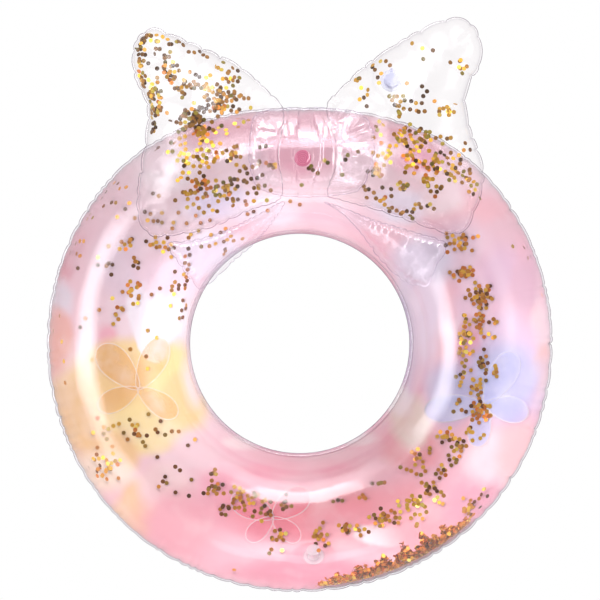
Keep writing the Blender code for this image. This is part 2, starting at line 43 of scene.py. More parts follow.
# The CAD's own dimensions
FILM = 0.4 * MM
WELD_GAP = 0.3 * MM
RING_REACH = 345 * MM
HOLE_REACH = 150 * MM
OUTER_SEAM = 7 * MM
INNER_SEAM = 4 * MM
CREST_RADIUS = 246 * MM
TUBE_HALF_HEIGHT = 92 * MM
BOW_SQUEEZE = 23 * MM
BOW_SQUEEZE_SPREAD = math.radians(30)
FOOT_SQUEEZE = 6 * MM
FOOT_SQUEEZE_SPREAD = math.radians(35)
LEFT_LOOP = [
    (-21, 307), (-44, 337), (-83, 371), (-125, 392), (-168, 411), (-194, 420), (-214, 408),
    (-222, 384), (-218, 353), (-203, 319), (-202, 290), (-208, 245), (-214, 199), (-211, 163),
    (-194, 143), (-160, 145), (-115, 155), (-65, 178), (-24, 196), (-28, 251),
]
RIGHT_LOOP = [
    (35, 311), (54, 338), (83, 367), (122, 395), (166, 421), (201, 434), (228, 427), (241, 400),
    (239, 370), (225, 345), (220, 319), (226, 284), (238, 251), (243, 221), (235, 186),
    (220, 154), (199, 145), (154, 159), (100, 178), (54, 191), (36, 201), (50, 251),
]
LEFT_TAIL = [
    (-20, 189), (-49, 146), (-89, 110), (-127, 76), (-141, 81), (-160, 108), (-174, 133),
    (-144, 138), (-110, 147), (-62, 169),
]
RIGHT_TAIL = [
    (31, 189), (59, 171), (84, 144), (106, 114), (138, 84), (158, 78), (170, 79), (180, 103),
    (193, 133), (154, 148), (96, 166), (58, 181),
]
KNOT = [
    (-58, 301), (-65, 270), (-66, 240), (-56, 208), (-26, 197), (4, 195), (44, 196), (78, 203),
    (92, 230), (97, 258), (92, 286), (76, 304), (40, 311), (4, 313), (-30, 310),
]
KNOT_X = 4 * MM
WELD_SPOT = (4 * MM, 246 * MM)
WELD_SPOT_RADIUS = 11 * MM
SADDLE_CURVE = 4.5
EAR_SLOPE = 0.12
EAR_SOFTEN = 20 * MM
LOOP_FULLNESS = 0.7
TAIL_FULLNESS = 0.55
KNOT_FULLNESS = 0.62
BOW_SEAM_RISE = 9 * MM
KNOT_CENTRE_RISE = 5 * MM
KNOT_SHOULDER_RISE = 27 * MM
REST_GAP = 1.3 * MM
STACK_GAP = 2.6 * MM
LAP = 20 * MM
BOW_VALVE = (123 * MM, 353 * MM)
VALVE_HOLE = 15.3 * MM
VALVE_FLAT = 18.5 * MM
FLANGE_RADIUS = 15 * MM
FLANGE_HALF = 0.8 * MM
NECK_RADIUS = 8.3 * MM
NECK_BORE = 4.2 * MM
NECK_DEPTH = 15 * MM
LIP_RADIUS = 10.5 * MM
LIP_TOP = 2.6 * MM
PLUG_SHANK = 3.9 * MM
PLUG_DEPTH = 6 * MM
PLUG_HEAD = 7.6 * MM
PLUG_HEAD_THICK = 1.6 * MM
RUN_GAP = 0.3 * MM
FLAP_RADIUS = 5.4 * MM
FLAP_THICK = 0.5 * MM
DISC_RADIUS = 3 * MM

# Looks: puckers, creases, mesh steps
RING_STEPS = 864
PUCKER_SPACING = 22 * MM
PUCKER_NOTCH = 3.2 * MM
PUCKER_SINK = 3.2 * MM
BOW_NOTCH = 3.5 * MM
BOW_FLANGE = 2 * MM
RING_FLANGE = 3 * MM
GRID = 2.5 * MM
GRID_SPAN_X = (-0.26, 0.28)
GRID_SPAN_Y = (0.04, 0.47)
RELAX_ROUNDS = 260
OVER_RELAX = 1.93
BOW_STEP = 2 * MM
BOW_FILL = 4.5 * MM
KNOT_FILL = 1.8 * MM
FILL_FROM = 18.5 * MM
# Mesh loops inside a bow seam: depth in millimetres, and one point kept of so many
RIM_LOOPS = [(1, 1), (2, 1), (2.5, 1), (3.3, 1), (4.6, 1), (6.6, 1), (9.4, 1), (12.6, 2), (16, 2)]
BEAD_RADIUS = 0.4 * MM
BEAD_SIDES = 6
LATHE_STEPS = 48
FLOOR_CLEAR = 0.2 * MM
SHOULDER = 7.5 * MM
# Spacing of the bow's seam notches: distances from the weld spot, and the spacing there
NOTCH_SPACING = ([60 * MM, 170 * MM], [9 * MM, 27 * MM])
TOOTH_SPACING = ([110 * MM, 190 * MM], [6 * MM, 18 * MM])

# Camera
CAMERA_SHIFT = (0.4 * MM, 59.3 * MM)
CAMERA_HEIGHT = 2.6
CAMERA_LENS = 114.3
LAMP_DISTANCE = 2.4

# The room: bright walls, darker ceiling; places on the ramp are sines of the elevation
SKY_BRIGHT_TO = 0.62
SKY_DARK_FROM = 0.9
SKY_DARK = 0.36
SKY_STRENGTH = 1.13


# ---------------------------------------------------------------- small helpers

def linear(hex_colour):
    """A colour written as on screen, as the linear values that a shader takes."""
    channels = [int(hex_colour[i:i + 2], 16) / 255 for i in (0, 2, 4)]
    return tuple(c / 12.92 if c <= 0.04045 else ((c + 0.055) / 1.055) ** 2.4 for c in channels) + (1.0,)


def smoothstep(value, low, high):
    t = np.clip((value - low) / (high - low), 0, 1)
    return t * t * (3 - 2 * t)


def add_mesh(name, points, faces, material, body="float", smooth=True, sharp=None):
    mesh = bpy.data.meshes.new(name)
    mesh.from_pydata([tuple(map(float, p)) for p in points], [], faces)
    mesh.materials.append(material)
    if smooth:
        mesh.shade_smooth()
    if sharp:
        mesh.set_sharp_from_angle(angle=math.radians(sharp))
    made = bpy.data.objects.new(name, mesh)
    bpy.context.scene.collection.objects.link(made)
    if body:
        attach(made, body)
    return made


def bridge(first, second):
    """Quads between two closed loops of point numbers."""
    count = len(first)
    return [[first[k], first[(k + 1) % count], second[(k + 1) % count], second[k]] for k in range(count)]


def stacked(loops, count):
    """Quads through a stack of closed loops, which each have a count of points."""
    faces = []
    for i in range(loops - 1):
        faces += bridge(range(i * count, (i + 1) * count), range((i + 1) * count, (i + 2) * count))
    return faces


def triangulated(outline, points, edges=()):
    """An outline filled with triangles through further points and edges: all points, then the faces."""
    border = len(outline)
    rim = [(i, (i + 1) % border) for i in range(border)]
    spots = [Vector(p) for p in [*outline, *points]]
    made = delaunay_2d_cdt(spots, [*rim, *edges], [list(range(border))], 1, 1e-7)
    return np.array([tuple(v) for v in made[0]]), [list(face) for face in made[2]]


def frame_at(point, outward, up):
    z_axis = Vector(outward).normalized()
    x_axis = Vector(up).cross(z_axis).normalized()
    y_axis = z_axis.cross(x_axis)
    turn = Matrix((x_axis, y_axis, z_axis)).transposed().to_4x4()
    return Matrix.Translation(Vector(point)) @ turn


# ---------------------------------------------------------------- materials

def add_node(tree, kind, inputs=None, **settings):
    """A shader node with its settings; each input is a value or the socket that feeds it."""
    made = tree.nodes.new("ShaderNode" + kind)
    for key, value in settings.items():
        setattr(made, key, value)
    for key, value in (inputs or {}).items():
        if isinstance(value, bpy.types.NodeSocket):
            tree.links.new(value, made.inputs[key])
        else:
            made.inputs[key].default_value = value
    return made


def new_material(name):
    """An empty material, its node tree and the object coordinates."""
    made = bpy.data.materials.new(name)
    made.use_nodes = True
    made.node_tree.nodes.clear()
    return made, made.node_tree, add_node(made.node_tree, "TexCoord").outputs["Object"]


def calculated(tree, operation, *values):
    return add_node(tree, "Math", dict(enumerate(values)), operation=operation).outputs[0]


def noise(tree, coords, scale, detail=2.0, output="Fac"):
    made = add_node(tree, "TexNoise", {"Scale": scale, "Detail": detail, "Vector": coords})
    return made.outputs[output]


def bump(tree, height, strength, distance):
    made = add_node(tree, "Bump", {"Strength": strength, "Distance": distance, "Height": height})
    return made.outputs["Normal"]


def ranged(tree, value, low, high, start=0.0, end=1.0, **settings):
    """Maps a value from start..end to low..high."""
    inputs = {"Value": value, "From Min": start, "From Max": end, "To Min": low, "To Max": high}
    return add_node(tree, "MapRange", inputs, **settings).outputs[0]


def mixed(tree, share, first, second):
    """The first colour, with a share of the second one."""
    made = add_node(tree, "Mix", {"Factor": share, "A": first, "B": second}, data_type="RGBA")
    return made.outputs["Result"]


def set_surface(tree, solid, shader, tint=(1, 1, 1, 1)):
    """The material's surface: a solid share shows the shader, and the rest lets light pass, tinted."""
    clear = add_node(tree, "BsdfTransparent", {"Color": tint})
    mix = add_node(tree, "MixShader", {0: solid, 1: clear.outputs[0], 2: shader.outputs[0]})
    add_node(tree, "OutputMaterial", {"Surface": mix.outputs[0]})


def clear_film(name, facing=0.085, grazing=0.4, tint="FFFEFE", edge="A49DA8"):
    """Clear PVC: passes light, mirrors a little when faced and more at a glance, greyer at its edges."""
    made, tree, coords = new_material(name)
    glance = add_node(tree, "LayerWeight", {"Blend": 0.5}).outputs["Facing"]
    mirror = calculated(tree, "POWER", glance, 4.0)
    mirror = calculated(tree, "MULTIPLY_ADD", mirror, grazing - facing, facing)
    through = mixed(tree, calculated(tree, "POWER", glance, 5.0), linear(tint), linear(edge))
    gloss = add_node(tree, "BsdfPrincipled", {
        "Base Color": linear("FBF8FC"),
        "Metallic": 1.0,
        "Roughness": ranged(tree, noise(tree, coords, 22.0), 0.11, 0.19),
        "Normal": bump(tree, noise(tree, coords, 38.0, 3.0), 0.25, 0.0012)})
    set_surface(tree, mirror, gloss, through)
    return made


def vinyl(name, colour, solid, rough=(0.3, 0.45)):
    """Moulded or fused PVC, milky, with a fine uneven skin."""
    made, tree, coords = new_material(name)
    grain = noise(tree, coords, 260.0, 4.0)
    darker = tuple(c * 0.9 for c in linear(colour)[:3]) + (1.0,)
    shader = add_node(tree, "BsdfPrincipled", {
        "Base Color": mixed(tree, grain, linear(colour), darker),
        "Roughness": ranged(tree, noise(tree, coords, 90.0), *rough),
        "Normal": bump(tree, grain, 0.2, 0.0002)})
    set_surface(tree, solid, shader)
    return made


# The print's patches, a few of them painted highlights: x, y, half width, half height, soft edge share,
# colour seen through the film
PRINT_BASE = "ECB6C5"
PRINT_AND_HIGHLIGHT_PATCHES = [
    (-180, 20, 150, 230, 0.6, "EBD3DE"),
    (-120, 250, 190, 90, 0.5, "F0D7DF"),
    (140, 250, 190, 90, 0.5, "F0D6DE"),
    (0, 300, 330, 34, 0.6, "EDB4C4"),
    (-330, 106, 22, 34, 0.5, "DC8496"),
    (-312, 150, 22, 40, 0.6, "E2A6B4"),
    (-326, 56, 16, 30, 0.6, "E2D8E6"),
    (-334, 0, 18, 46, 0.5, "EBACA2"),
    (-246, 104, 40, 56, 0.6, "E2CADA"),
    (-196, 112, 44, 40, 0.6, "E5C8D4"),
    (-276, 4, 15, 24, 0.5, "EDAFC0"),
    (-246, -8, 30, 20, 0.5, "E6D0DC"),
    (-226, -70, 110, 84, 0.2, "F0D296"),
    (-300, -105, 50, 70, 0.4, "E6BC84"),
    (-262, -60, 34, 60, 0.5, "ECC88A"),
    (-190, -50, 44, 50, 0.5, "F2D898"),
    (-172, -84, 34, 46, 0.25, "EFCB92"),
    (-230, -120, 60, 40, 0.5, "F4DDA0"),
    (-266, -160, 44, 40, 0.4, "EBC08A"),
    (-276, -190, 50, 34, 0.6, "F5DFD0"),
    (-222, -232, 34, 44, 0.35, "EEC296"),
    (-190, -200, 44, 40, 0.5, "EBC7CB"),
    (-150, -150, 40, 40, 0.5, "EBC8D3"),
    (-146, -44, 26, 50, 0.5, "F6DCE0"),
    (-204, 44, 46, 50, 0.16, "EFE7F2"),
    (-212, 8, 26, 36, 0.14, "F1EAF3"),
    (-176, 92, 54, 36, 0.5, "EBCFDF"),
    (-170, -254, 60, 54, 0.6, "E6A2B0"),
    (-60, -226, 90, 56, 0.6, "F0A6B8"),
    (20, -232, 140, 44, 0.6, "F0929E"),
    (60, -262, 100, 32, 0.6, "F19AA8"),
    (0, -186, 150, 24, 0.6, "F1AEBF"),
    (-90, -196, 50, 26, 0.6, "EE9FB4"),
    (10, -322, 130, 26, 0.6, "DE94A8"),
    (110, -268, 40, 15, 0.3, "FBE0E6"),
    (160, -240, 70, 50, 0.6, "F1A2AE"),
    (160, -148, 50, 40, 0.5, "E8929C"),
    (252, -222, 60, 50, 0.5, "DE9EB2"),
    (270, -160, 40, 44, 0.5, "EFD0DA"),
    (310, -165, 34, 60, 0.5, "EFBCC0"),
    (158, -110, 32, 44, 0.4, "E3CEBE"),
    (150, 30, 26, 120, 0.6, "D4C2DA"),
    (180, 60, 26, 110, 0.6, "E6D6E8"),
    (250, 176, 60, 40, 0.5, "EBB4BE"),
    (282, 150, 30, 34, 0.6, "E2B8C4"),
    (226, 130, 46, 50, 0.6, "DDBDCE"),
    (284, 90, 34, 54, 0.6, "D9B4CC"),
    (250, 50, 30, 70, 0.6, "EDC8DC"),
    (320, 80, 22, 50, 0.6, "DAB0C4"),
    (338, 10, 16, 64, 0.5, "EFD3DA"),
    (300, -6, 36, 60, 0.6, "E3C8E2"),
    (248, -12, 20, 50, 0.3, "E39CB2"),
    (338, -40, 16, 40, 0.5, "F0BCB4"),
    (290, -56, 56, 60, 0.5, "C3C1E6"),
    (216, -70, 40, 50, 0.5, "B7B0D5"),
    (164, 256, 42, 24, 0.5, "EAA8C0"),
    (140, 190, 50, 26, 0.5, "E7E1F0"),
    (170, 118, 54, 38, 0.5, "D6CFE2"),
    (-124, 122, 54, 36, 0.5, "E2D8E8"),
    (-110, 190, 60, 26, 0.5, "DCD2EA"),
    # Painted highlight: a near-white patch where the left loop's white streak lies over the ring
    (-184, 238, 46, 34, 0.5, "FAF0F4"),
    # Painted highlights: two pale patches for the bright rim beside the hole, lower left and lower right
    (-86, -134, 26, 12, 0.6, "F4E0E4"),
    (86, -134, 26, 12, 0.6, "F0DCE0"),
    (140, -76, 22, 26, 0.5, "F0E4E4"),
    # Painted highlight: the same white streak, where the left loop meets the ring's edge
    (-204, 258, 24, 24, 0.5, "F7E6EC"),
    (200, 198, 30, 24, 0.5, "F2DDE2"),
    (0, 262, 60, 50, 0.6, "F4B9C9"),
    (-40, 180, 60, 24, 0.6, "EBDCE8"),
    (60, 176, 60, 22, 0.6, "EAC8D6"),
]
# What the clear film over the print adds and takes: a veil of reflected room, and the share of light
FILM_VEIL = 0.06
FILM_GAIN = 0.99


def under_film(hex_colour):
    """The ink that looks like this colour once the film and the room's reflection lie over it."""
    return tuple(min(max((c - FILM_VEIL) / FILM_GAIN, 0.01), 1.0) for c in linear(hex_colour)[:3]) + (1.0,)


def printed_film():
    """The print: soft overlapping watercolour patches on the inside of the back film, a few of them painted
    highlights.
    """
    made, tree, coords = new_material("printed_film")
    wander = coords
    for scale, reach in ((6.0, 0.05), (38.0, 0.010)):
        inputs = {0: noise(tree, coords, scale, output="Color"), 1: (reach, reach, 0), 2: wander}
        shift = add_node(tree, "VectorMath", inputs, operation="MULTIPLY_ADD")
        inputs = {0: shift.outputs[0], 1: (reach / 2, reach / 2, 0)}
        wander = add_node(tree, "VectorMath", inputs, operation="SUBTRACT").outputs[0]
    colour = under_film(PRINT_BASE)
    for x, y, half_x, half_y, soft, paint in PRINT_AND_HIGHLIGHT_PATCHES:
        inputs = {"Vector": wander, "Location": (x * MM, y * MM + RING_Y, 0),
                  "Scale": (half_x * MM, half_y * MM, 1000)}
        place = add_node(tree, "Mapping", inputs, vector_type="TEXTURE")
        reach = add_node(tree, "VectorMath", {0: place.outputs[0]}, operation="LENGTH")
        cover = ranged(tree, reach.outputs["Value"], 0.0, 1.0, 1 + soft * 0.4, 1 - soft,
                       interpolation_type="SMOOTHSTEP")
        colour = mixed(tree, cover, colour, under_film(paint))
    wash = ranged(tree, noise(tree, coords, 14.0, 5.0), 0.0, 0.35, 0.5, 0.8)
    shader = add_node(tree, "BsdfPrincipled", {
        "Base Color": mixed(tree, wash, colour, under_film("FBF2F5")),
        "IOR": 1.5,
        "Roughness": ranged(tree, noise(tree, coords, 20.0), 0.2, 0.3),
        "Normal": bump(tree, noise(tree, coords, 30.0, 3.0), 0.25, 0.001)})
    set_surface(tree, 0.9, shader)
    return made


def ink(name, colour, solid):
    """A thin coat of print that the film's own colour shows through."""
    made, tree, coords = new_material(name)
    pale = ranged(tree, noise(tree, coords, 25.0, 3.0), 0.0, 0.7, 0.45, 0.8)
    shader = add_node(tree, "BsdfPrincipled", {
        "Base Color": mixed(tree, pale, linear(colour), linear("F6F2FC")),
        "Roughness": ranged(tree, noise(tree, coords, 60.0), 0.25, 0.4)})
    set_surface(tree, ranged(tree, noise(tree, coords, 12.0, 3.0), solid * 0.6, solid, 0.3, 0.7), shader)
    return made


def foil(name, colour, dark):
    """Metallised film: each disc has its own tone between two."""
    made, tree, coords = new_material(name)
    island = add_node(tree, "NewGeometry").outputs["Random Per Island"]
    shader = add_node(tree, "BsdfPrincipled", {
        "Base Color": mixed(tree, island, linear(dark), linear(colour)),
        "Metallic": 0.85,
        "Roughness": ranged(tree, noise(tree, coords, 400.0), 0.22, 0.42)})
    add_node(tree, "OutputMaterial", {"Surface": shader.outputs[0]})
    return made


# ---------------------------------------------------------------- the ring's shape

def ring_reach(turn):
    from_bow = np.remainder(turn - math.pi / 2 + math.pi, TAU) - math.pi
    from_foot = np.remainder(turn + math.pi / 2 + math.pi, TAU) - math.pi
    bow_draw = BOW_SQUEEZE * np.exp(-(from_bow / BOW_SQUEEZE_SPREAD) ** 2)
    foot_draw = FOOT_SQUEEZE * np.exp(-(from_foot / FOOT_SQUEEZE_SPREAD) ** 2)
    return RING_REACH - bow_draw - foot_draw


def outer_width(turn):
    return ring_reach(turn) - OUTER_SEAM - CREST_RADIUS


INNER_WIDTH = CREST_RADIUS - HOLE_REACH - INNER_SEAM


def across_tube(x, y, grow=0.0):
    """The tube's half width over x, y, and how far across it: -1 at the hole, 1 at the outside."""
    reach = np.hypot(x, y)
    width = np.where(reach > CREST_RADIUS, outer_width(np.arctan2(y, x)), INNER_WIDTH) + grow
    return width, (reach - CREST_RADIUS) / width


def ring_top(x, y):
    """Height of the ring's front film over x, y about its centre; far below where it isn't there."""
    share = np.clip(1 - across_tube(x, y, FILM)[1] ** 2, 0, None)
    dome = SEAM_Z + WELD_GAP / 2 + (TUBE_HALF_HEIGHT + FILM) * np.sqrt(share)
    return np.where(share > 0, dome, -1.0)


def scallops(stops, lengths, depths, run):
    """At each run along a seam: how near a notch (1 at it), narrow and broad, a wave, and its depth."""
    number = np.clip(np.searchsorted(stops, run, side="right") - 1, 0, len(lengths) - 1)
    part = np.clip((run - stops[number]) / lengths[number], 0, 1)
    arch = np.sin(math.pi * part)
    sign = np.where(number % 2 == 0, 1.0, -1.0)
    return 1 - np.sqrt(np.clip(arch, 0, 1)), 1 - arch, arch * sign, depths[number]


def seam_stops(total, spacing_at, rng):
    """Irregular notch places along a closed seam."""
    runs = [0.0]
    while runs[-1] < total:
        runs.append(runs[-1] + spacing_at(runs[-1]) * rng.uniform(0.4, 1.6))
    stops = np.array(runs) * total / runs[-1]
    return stops[:-1], np.diff(stops)


def tube_rolls(crease):
    """Roll steps: fine by the outer seam, coarse over the crest, fine by the inner seam."""
    rolls = [0.0]
    step = math.radians(0.35)
    while rolls[-1] < math.radians(24):
        rolls.append(rolls[-1] + step)
        step *= 1.16
    last = math.radians(180 - (34 if crease else 24))
    rolls += list(np.linspace(rolls[-1], last, 44)[1:])
    if crease:
        rolls += list(np.linspace(last, math.radians(176), 62)[1:])
        rolls += [math.radians(a) for a in (177, 178, 178.8, 179.4, 180)]
    else:
        rolls += list(np.linspace(last, math.pi, 17)[1:])
    return rolls


# Fine folds round the hole: run from the inner seam and height in millimetres, waves round the ring
CREASES = [(8, 0.5, 1), (14, 0.7, 2), (19, 0.5, 3), (25, 0.6, 4), (33, 0.4, 5)]


def ring_surface(flip, rng_seed, crease):
    """Grid of points of one ring film: flip 1 is the front film, -1 the back film."""
    turn = np.linspace(0, TAU, RING_STEPS, endpoint=False)
    shared = np.random.default_rng(11)
    stops, lengths = seam_stops(TAU * RING_REACH, lambda run: PUCKER_SPACING, shared)
    depths = shared.uniform(0.25, 1.3, len(lengths))
    narrow, broad, wave, depth = scallops(stops, lengths, depths, turn * RING_REACH)
    phases = np.random.default_rng(rng_seed).uniform(0, TAU, 12)
    edge = ring_reach(turn) - PUCKER_NOTCH * narrow * depth
    wide = ring_reach(turn) - RING_FLANGE - CREST_RADIUS
    lift = flip * WELD_GAP / 2
    flare = 0.9 * MM * wave
    columns = [(edge, lift + flare), (edge - 0.5 * RING_FLANGE, lift + 0.6 * flare)]
    for roll in tube_rolls(crease):
        c, s = math.cos(roll), math.sin(roll)
        outer = c >= 0
        run = TUBE_HALF_HEIGHT * roll
        sink = np.zeros_like(turn)
        if outer:
            sink = PUCKER_SINK * depth * (0.8 * narrow * math.exp(-run / (9 * MM))
                                          + 0.9 * broad * math.exp(-run / (24 * MM)))
            sink = sink * (1 - math.exp(-run / (2.5 * MM)))
        swell = np.sin(5 * turn + 3 * roll + phases[0]) + np.sin(9 * turn - 4 * roll + phases[1])
        swell = 0.35 * MM * (swell + 0.6 * np.sin(17 * turn + 6 * roll + phases[2]))
        sink = sink - swell * s ** 2
        if crease and not outer:
            inner_run = TUBE_HALF_HEIGHT * (math.pi - roll)
            for place, height, k in CREASES:
                off = inner_run - place * MM - 1.2 * MM * np.sin(k * turn + phases[3 + k])
                fade = 0.6 + 0.4 * np.sin((k + 1) * turn + phases[7 + k % 4])
                sink = sink - height * MM * fade * np.exp(-(off / (0.8 * MM)) ** 2)
        radial = CREST_RADIUS + (wide if outer else INNER_WIDTH) * c - sink * c
        rise = lift + flip * (TUBE_HALF_HEIGHT - sink) * s
        if roll == 0.0:
            radial = edge - RING_FLANGE
            rise = rise + 0.35 * flare
        columns.append((radial, rise))
    columns.append((HOLE_REACH + INNER_SEAM * 0.5, lift + 0.15 * MM * np.sin(40 * turn + phases[4])))
    columns.append((HOLE_REACH, lift))
    radial = np.array([reach * np.ones_like(turn) for reach, _ in columns])
    height = SEAM_Z + np.array([rise * np.ones_like(turn) for _, rise in columns])
    height = np.maximum(height, FLOOR_CLEAR if flip < 0 else -1)
    return np.stack([radial * np.cos(turn), radial * np.sin(turn) + RING_Y, height], axis=2)


def ring_film(name, flip, seed, crease, main, flange, replaced, valve_place=None):
    surface = ring_surface(flip, seed, crease)
    rows, columns = surface.shape[:2]
    points = surface.reshape(-1, 3)
    if valve_place is not None:
        points = flatten_round(points, valve_place)
    faces = stacked(rows, columns)
    if flip < 0:
        faces = [face[::-1] for face in faces]
    made = add_mesh(name, points, faces, main)
    made.data.materials.append(flange)
    marks = np.zeros(len(faces), dtype=np.int32)
    marks[:columns * 2] = 1
    if flip > 0:
        marks[-columns * 2:] = 1
    made.data.polygons.foreach_set("material_index", marks)
    if valve_place is not None:
        cut_hole(made, valve_place)
    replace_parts(made, replaced)


def flatten_round(points, place):
    """Presses the film flat round a valve, so that its flange lies in it."""
    to_valve = np.array(place.inverted())
    local = points @ to_valve[:3, :3].T + to_valve[:3, 3]
    off = np.hypot(local[:, 0], local[:, 1])
    near = np.abs(local[:, 2]) < 25 * MM
    hold = np.where(near, 1 - smoothstep(off, VALVE_FLAT, VALVE_FLAT + 16 * MM), 0)
    local[:, 2] *= 1 - hold
    back = np.array(place)
    return local @ back[:3, :3].T + back[:3, 3]


def cut_hole(made, place):
    """Opens the round hole that a valve's flange fills."""
    to_valve = place.inverted()
    work = bmesh.new()
    work.from_mesh(made.data)
    inner = []
    for face in work.faces:
        middle = to_valve @ face.calc_center_median()
        if math.hypot(middle.x, middle.y) < FLANGE_RADIUS - 1 * MM and abs(middle.z) < 4 * MM:
            inner.append(face)
    bmesh.ops.delete(work, geom=inner, context="FACES")
    for edge in work.edges:
        if not edge.is_boundary:
            continue
        for vertex in edge.verts:
            spot = to_valve @ vertex.co
            off = math.hypot(spot.x, spot.y)
            if 5 * MM < off < FLANGE_RADIUS + 4 * MM and abs(spot.z) < 4 * MM:
                scale = (FLANGE_RADIUS - 1 * MM) / off
                vertex.co = place @ Vector((spot.x * scale, spot.y * scale, spot.z))
    work.to_mesh(made.data)
    work.free()


# ---------------------------------------------------------------- the bow's shape

def smooth_outline(points, spacing):
    """A closed Catmull-Rom curve through the points, read at even steps, counter-clockwise."""
    nodes = np.array(points, dtype=float) * MM
    area = np.sum(nodes[:, 0] * np.roll(nodes[:, 1], -1) - np.roll(nodes[:, 0], -1) * nodes[:, 1])
    if area < 0:
        nodes = nodes[::-1]
    fine = []
    for i in range(len(nodes)):
        before, start, end, after = (nodes[(i + k) % len(nodes)] for k in (-1, 0, 1, 2))
        for t in np.linspace(0, 1, 24, endpoint=False):
            curve = (2 * start + (end - before) * t
                     + (2 * before - 5 * start + 4 * end - after) * t ** 2
                     + (3 * start - before - 3 * end + after) * t ** 3)
            fine.append(curve / 2)
    fine = np.array(fine + [fine[0]])
    run = np.concatenate([[0], np.cumsum(np.linalg.norm(np.diff(fine, axis=0), axis=1))])
    count = round(run[-1] / spacing)
    stops = np.linspace(0, run[-1], count, endpoint=False)
    return np.column_stack([np.interp(stops, run, fine[:, axis]) for axis in (0, 1)])


def outline_normals(outline):
    ahead = np.roll(outline, -1, axis=0) - np.roll(outline, 1, axis=0)
    ahead /= np.linalg.norm(ahead, axis=1)[:, None]
    return np.column_stack([-ahead[:, 1], ahead[:, 0]])


def inside(outline, x, y):
    hit = np.zeros(np.shape(x), dtype=bool)
    for (x1, y1), (x2, y2) in zip(outline, np.roll(outline, -1, axis=0)):
        if y1 == y2:
            continue
        crosses = (y1 > y) != (y2 > y)
        hit ^= crosses & (x < (x2 - x1) * (y - y1) / (y2 - y1) + x1)
    return hit


def nearest(outline, x, y):
    """Distance to a closed outline; its nearest point's run and inward normal; the outline's length."""
    found = [np.full(np.shape(x), start) for start in (1e9, 0.0, 0.0, 0.0)]
    normals = outline_normals(outline)
    step = np.linalg.norm(np.roll(outline, -1, axis=0) - outline, axis=1)
    starts = np.concatenate([[0], np.cumsum(step)[:-1]])
    for i in range(len(outline)):
        k = (i + 1) % len(outline)
        run = outline[k] - outline[i]
        along = ((x - outline[i, 0]) * run[0] + (y - outline[i, 1]) * run[1]) / (run @ run)
        along = np.clip(along, 0, 1)
        off = np.hypot(x - outline[i, 0] - along * run[0], y - outline[i, 1] - along * run[1])
        closer = off < found[0]
        here = [off, starts[i] + along * step[i]]
        here += [normals[i, axis] * (1 - along) + normals[k, axis] * along for axis in (0, 1)]
        found = [np.where(closer, new, old) for new, old in zip(here, found)]
    return *found, float(step.sum())


GRID_X, GRID_Y = np.meshgrid(np.arange(*GRID_SPAN_X, GRID), np.arange(*GRID_SPAN_Y, GRID))


def on_grid(field, x, y):
    column = np.clip((np.asarray(x) - GRID_X[0, 0]) / GRID, 0, field.shape[1] - 1.001)
    row = np.clip((np.asarray(y) - GRID_Y[0, 0]) / GRID, 0, field.shape[0] - 1.001)
    i, j = row.astype(int), column.astype(int)
    u, v = row - i, column - j
    low = field[i, j] * (1 - v) + field[i, j + 1] * v
    high = field[i + 1, j] * (1 - v) + field[i + 1, j + 1] * v
    return low * (1 - u) + high * u


def swell_level(outline):
    """The pressure field whose root is a membrane's rise: solved on the grid, zero on the outline."""
    mask = inside(outline, GRID_X, GRID_Y)
    level = np.zeros_like(GRID_X)
    checker = (np.add.outer(np.arange(mask.shape[0]), np.arange(mask.shape[1])) % 2).astype(bool)
    for _ in range(RELAX_ROUNDS):
        for colour in (checker & mask, ~checker & mask):
            around = (np.roll(level, 1, 0) + np.roll(level, -1, 0)
                      + np.roll(level, 1, 1) + np.roll(level, -1, 1))
            level = level + np.where(colour, OVER_RELAX * ((around + GRID ** 2) / 4 - level), 0)
    return np.clip(level, 0, None)


def saddle(x, y, ears):
    off = np.hypot(x, y) - CREST_RADIUS
    curved = SADDLE_CURVE * off ** 2
    sloped = EAR_SLOPE * (np.hypot(off, EAR_SOFTEN) - EAR_SOFTEN)
    return np.where((off > 0) & ears, sloped, curved)


def pinch(x):
    return 0.12 + 0.88 * smoothstep(np.abs(x - KNOT_X), 25 * MM, 120 * MM)


